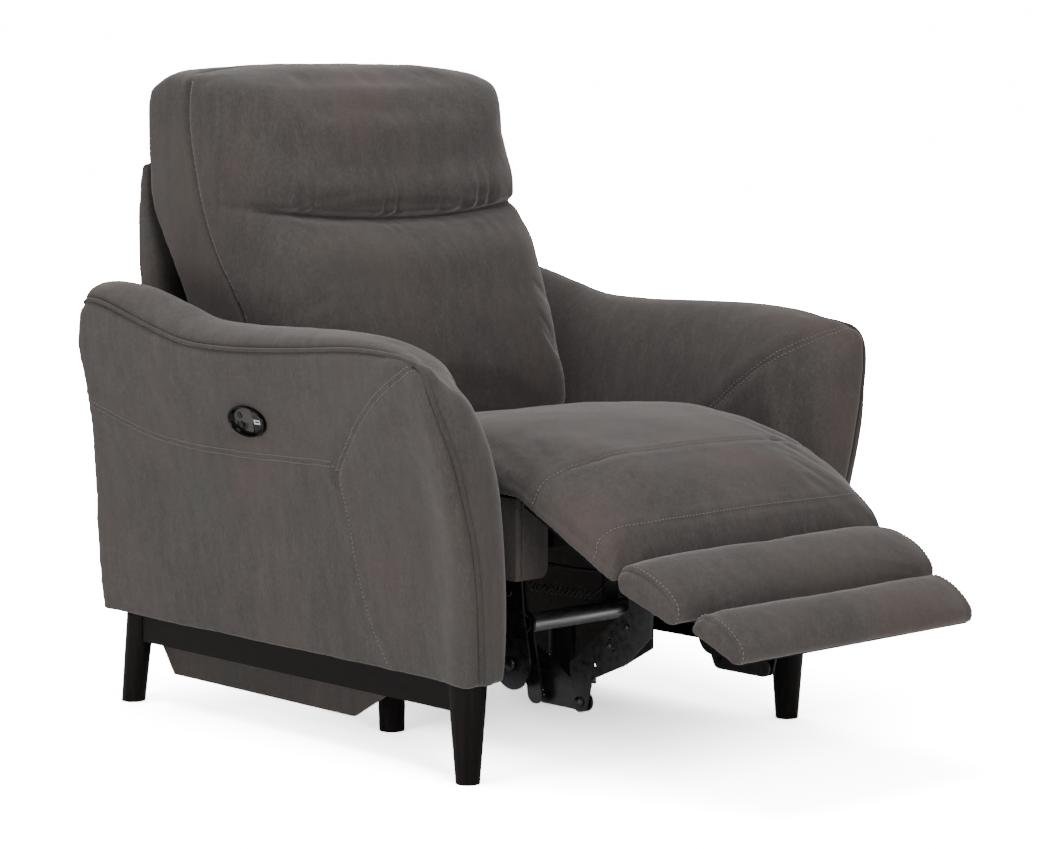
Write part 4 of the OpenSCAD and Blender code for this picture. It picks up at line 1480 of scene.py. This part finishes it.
# Lights: name, place, aim, size and power
LIGHTS = [
    ("top", (-0.6, 0.3, 3.4), HEART, 2.6, 68),
    ("key", (-1.15, -3.4, 1.9), HEART, 2.2, 78),
    ("side", (-2.5, -0.1, 0.35), (-0.4, 0.2, 0.35), 1.2, 23),
    ("rear", (1.6, 3.0, 2.4), HEART, 2.0, 24),
]


def build_camera():
    camera = bpy.data.objects.new("camera", bpy.data.cameras.new("camera"))
    bpy.context.scene.collection.objects.link(camera)
    bpy.context.scene.camera = camera
    turn, rise = math.radians(VIEW_AZIMUTH), math.radians(VIEW_ELEVATION)
    back = Vector((math.sin(turn) * math.cos(rise), -math.cos(turn) * math.cos(rise), math.sin(rise)))
    camera.location = Vector(place(VIEW_AIM)) + back * VIEW_DISTANCE
    camera.rotation_mode = "QUATERNION"
    camera.rotation_quaternion = (-back).to_track_quat("-Z", "Y")
    camera.data.lens = LENS
    camera.data.sensor_width = SENSOR
    camera.data.clip_end = 100


def add_light(name, spot, aim, size, power):
    data = bpy.data.lights.new(name, "AREA")
    data.shape = "DISK"
    data.size = size
    data.energy = power
    light = bpy.data.objects.new(name, data)
    bpy.context.scene.collection.objects.link(light)
    light.location = spot
    light.rotation_mode = "QUATERNION"
    light.rotation_quaternion = (Vector(aim) - Vector(spot)).to_track_quat("-Z", "Y")


def build_floor():
    """A pale floor, which the camera sees brighter with distance than it lights the chair."""
    size = FLOOR_SIZE
    corners = [(-size, -size, FLOOR), (size, -size, FLOOR), (size, size, FLOOR), (-size, size, FLOOR)]
    floor = add_object("floor", corners, [(0, 1, 2, 3)])
    f = Finish("pale_floor")
    seen = f.node("ShaderNodeLightPath").outputs["Is Camera Ray"]
    shade = f.mix(f.noise(0.8, 2), rgb(0.88, 0.88, 0.88), rgb(0.90, 0.90, 0.90))
    where = f.node("ShaderNodeTexCoord").outputs["Object"]
    away = f.node("ShaderNodeVectorMath", {0: where}, operation="LENGTH").outputs["Value"]
    near, far = rgb(*[FLOOR_NEAR] * 3), rgb(*[FLOOR_FAR] * 3)
    bright = f.mix(f.ramp(away, 1.0, 5.0), near, far)
    diffuse = f.node("ShaderNodeBsdfDiffuse", {"Color": f.mix(seen, shade, bright)})
    f.tree.links.new(diffuse.outputs[0], f.tree.nodes["Material Output"].inputs["Surface"])
    floor.data.materials.append(f.material)


def build_world():
    """White surroundings, which the camera sees brighter than they light the chair."""
    world = bpy.data.worlds.new("studio")
    world.use_nodes = True
    tree = world.node_tree
    path = tree.nodes.new("ShaderNodeLightPath")
    level = tree.nodes.new("ShaderNodeMapRange")
    level.inputs["To Min"].default_value = WORLD_LIGHT
    level.inputs["To Max"].default_value = BACKDROP_LIGHT
    tree.links.new(path.outputs["Is Camera Ray"], level.inputs["Value"])
    tree.links.new(level.outputs[0], tree.nodes["Background"].inputs["Strength"])
    tree.nodes["Background"].inputs["Color"].default_value = (1, 1, 1, 1)
    bpy.context.scene.world = world


def build_stage():
    build_floor()
    build_world()
    for light in LIGHTS:
        add_light(*light)


# ---------- the whole chair ----------

build_camera()
build_stage()
build_arms()
build_back()
build_seat()
build_gusset()
build_pads()
build_hardware()
finish_nodes()
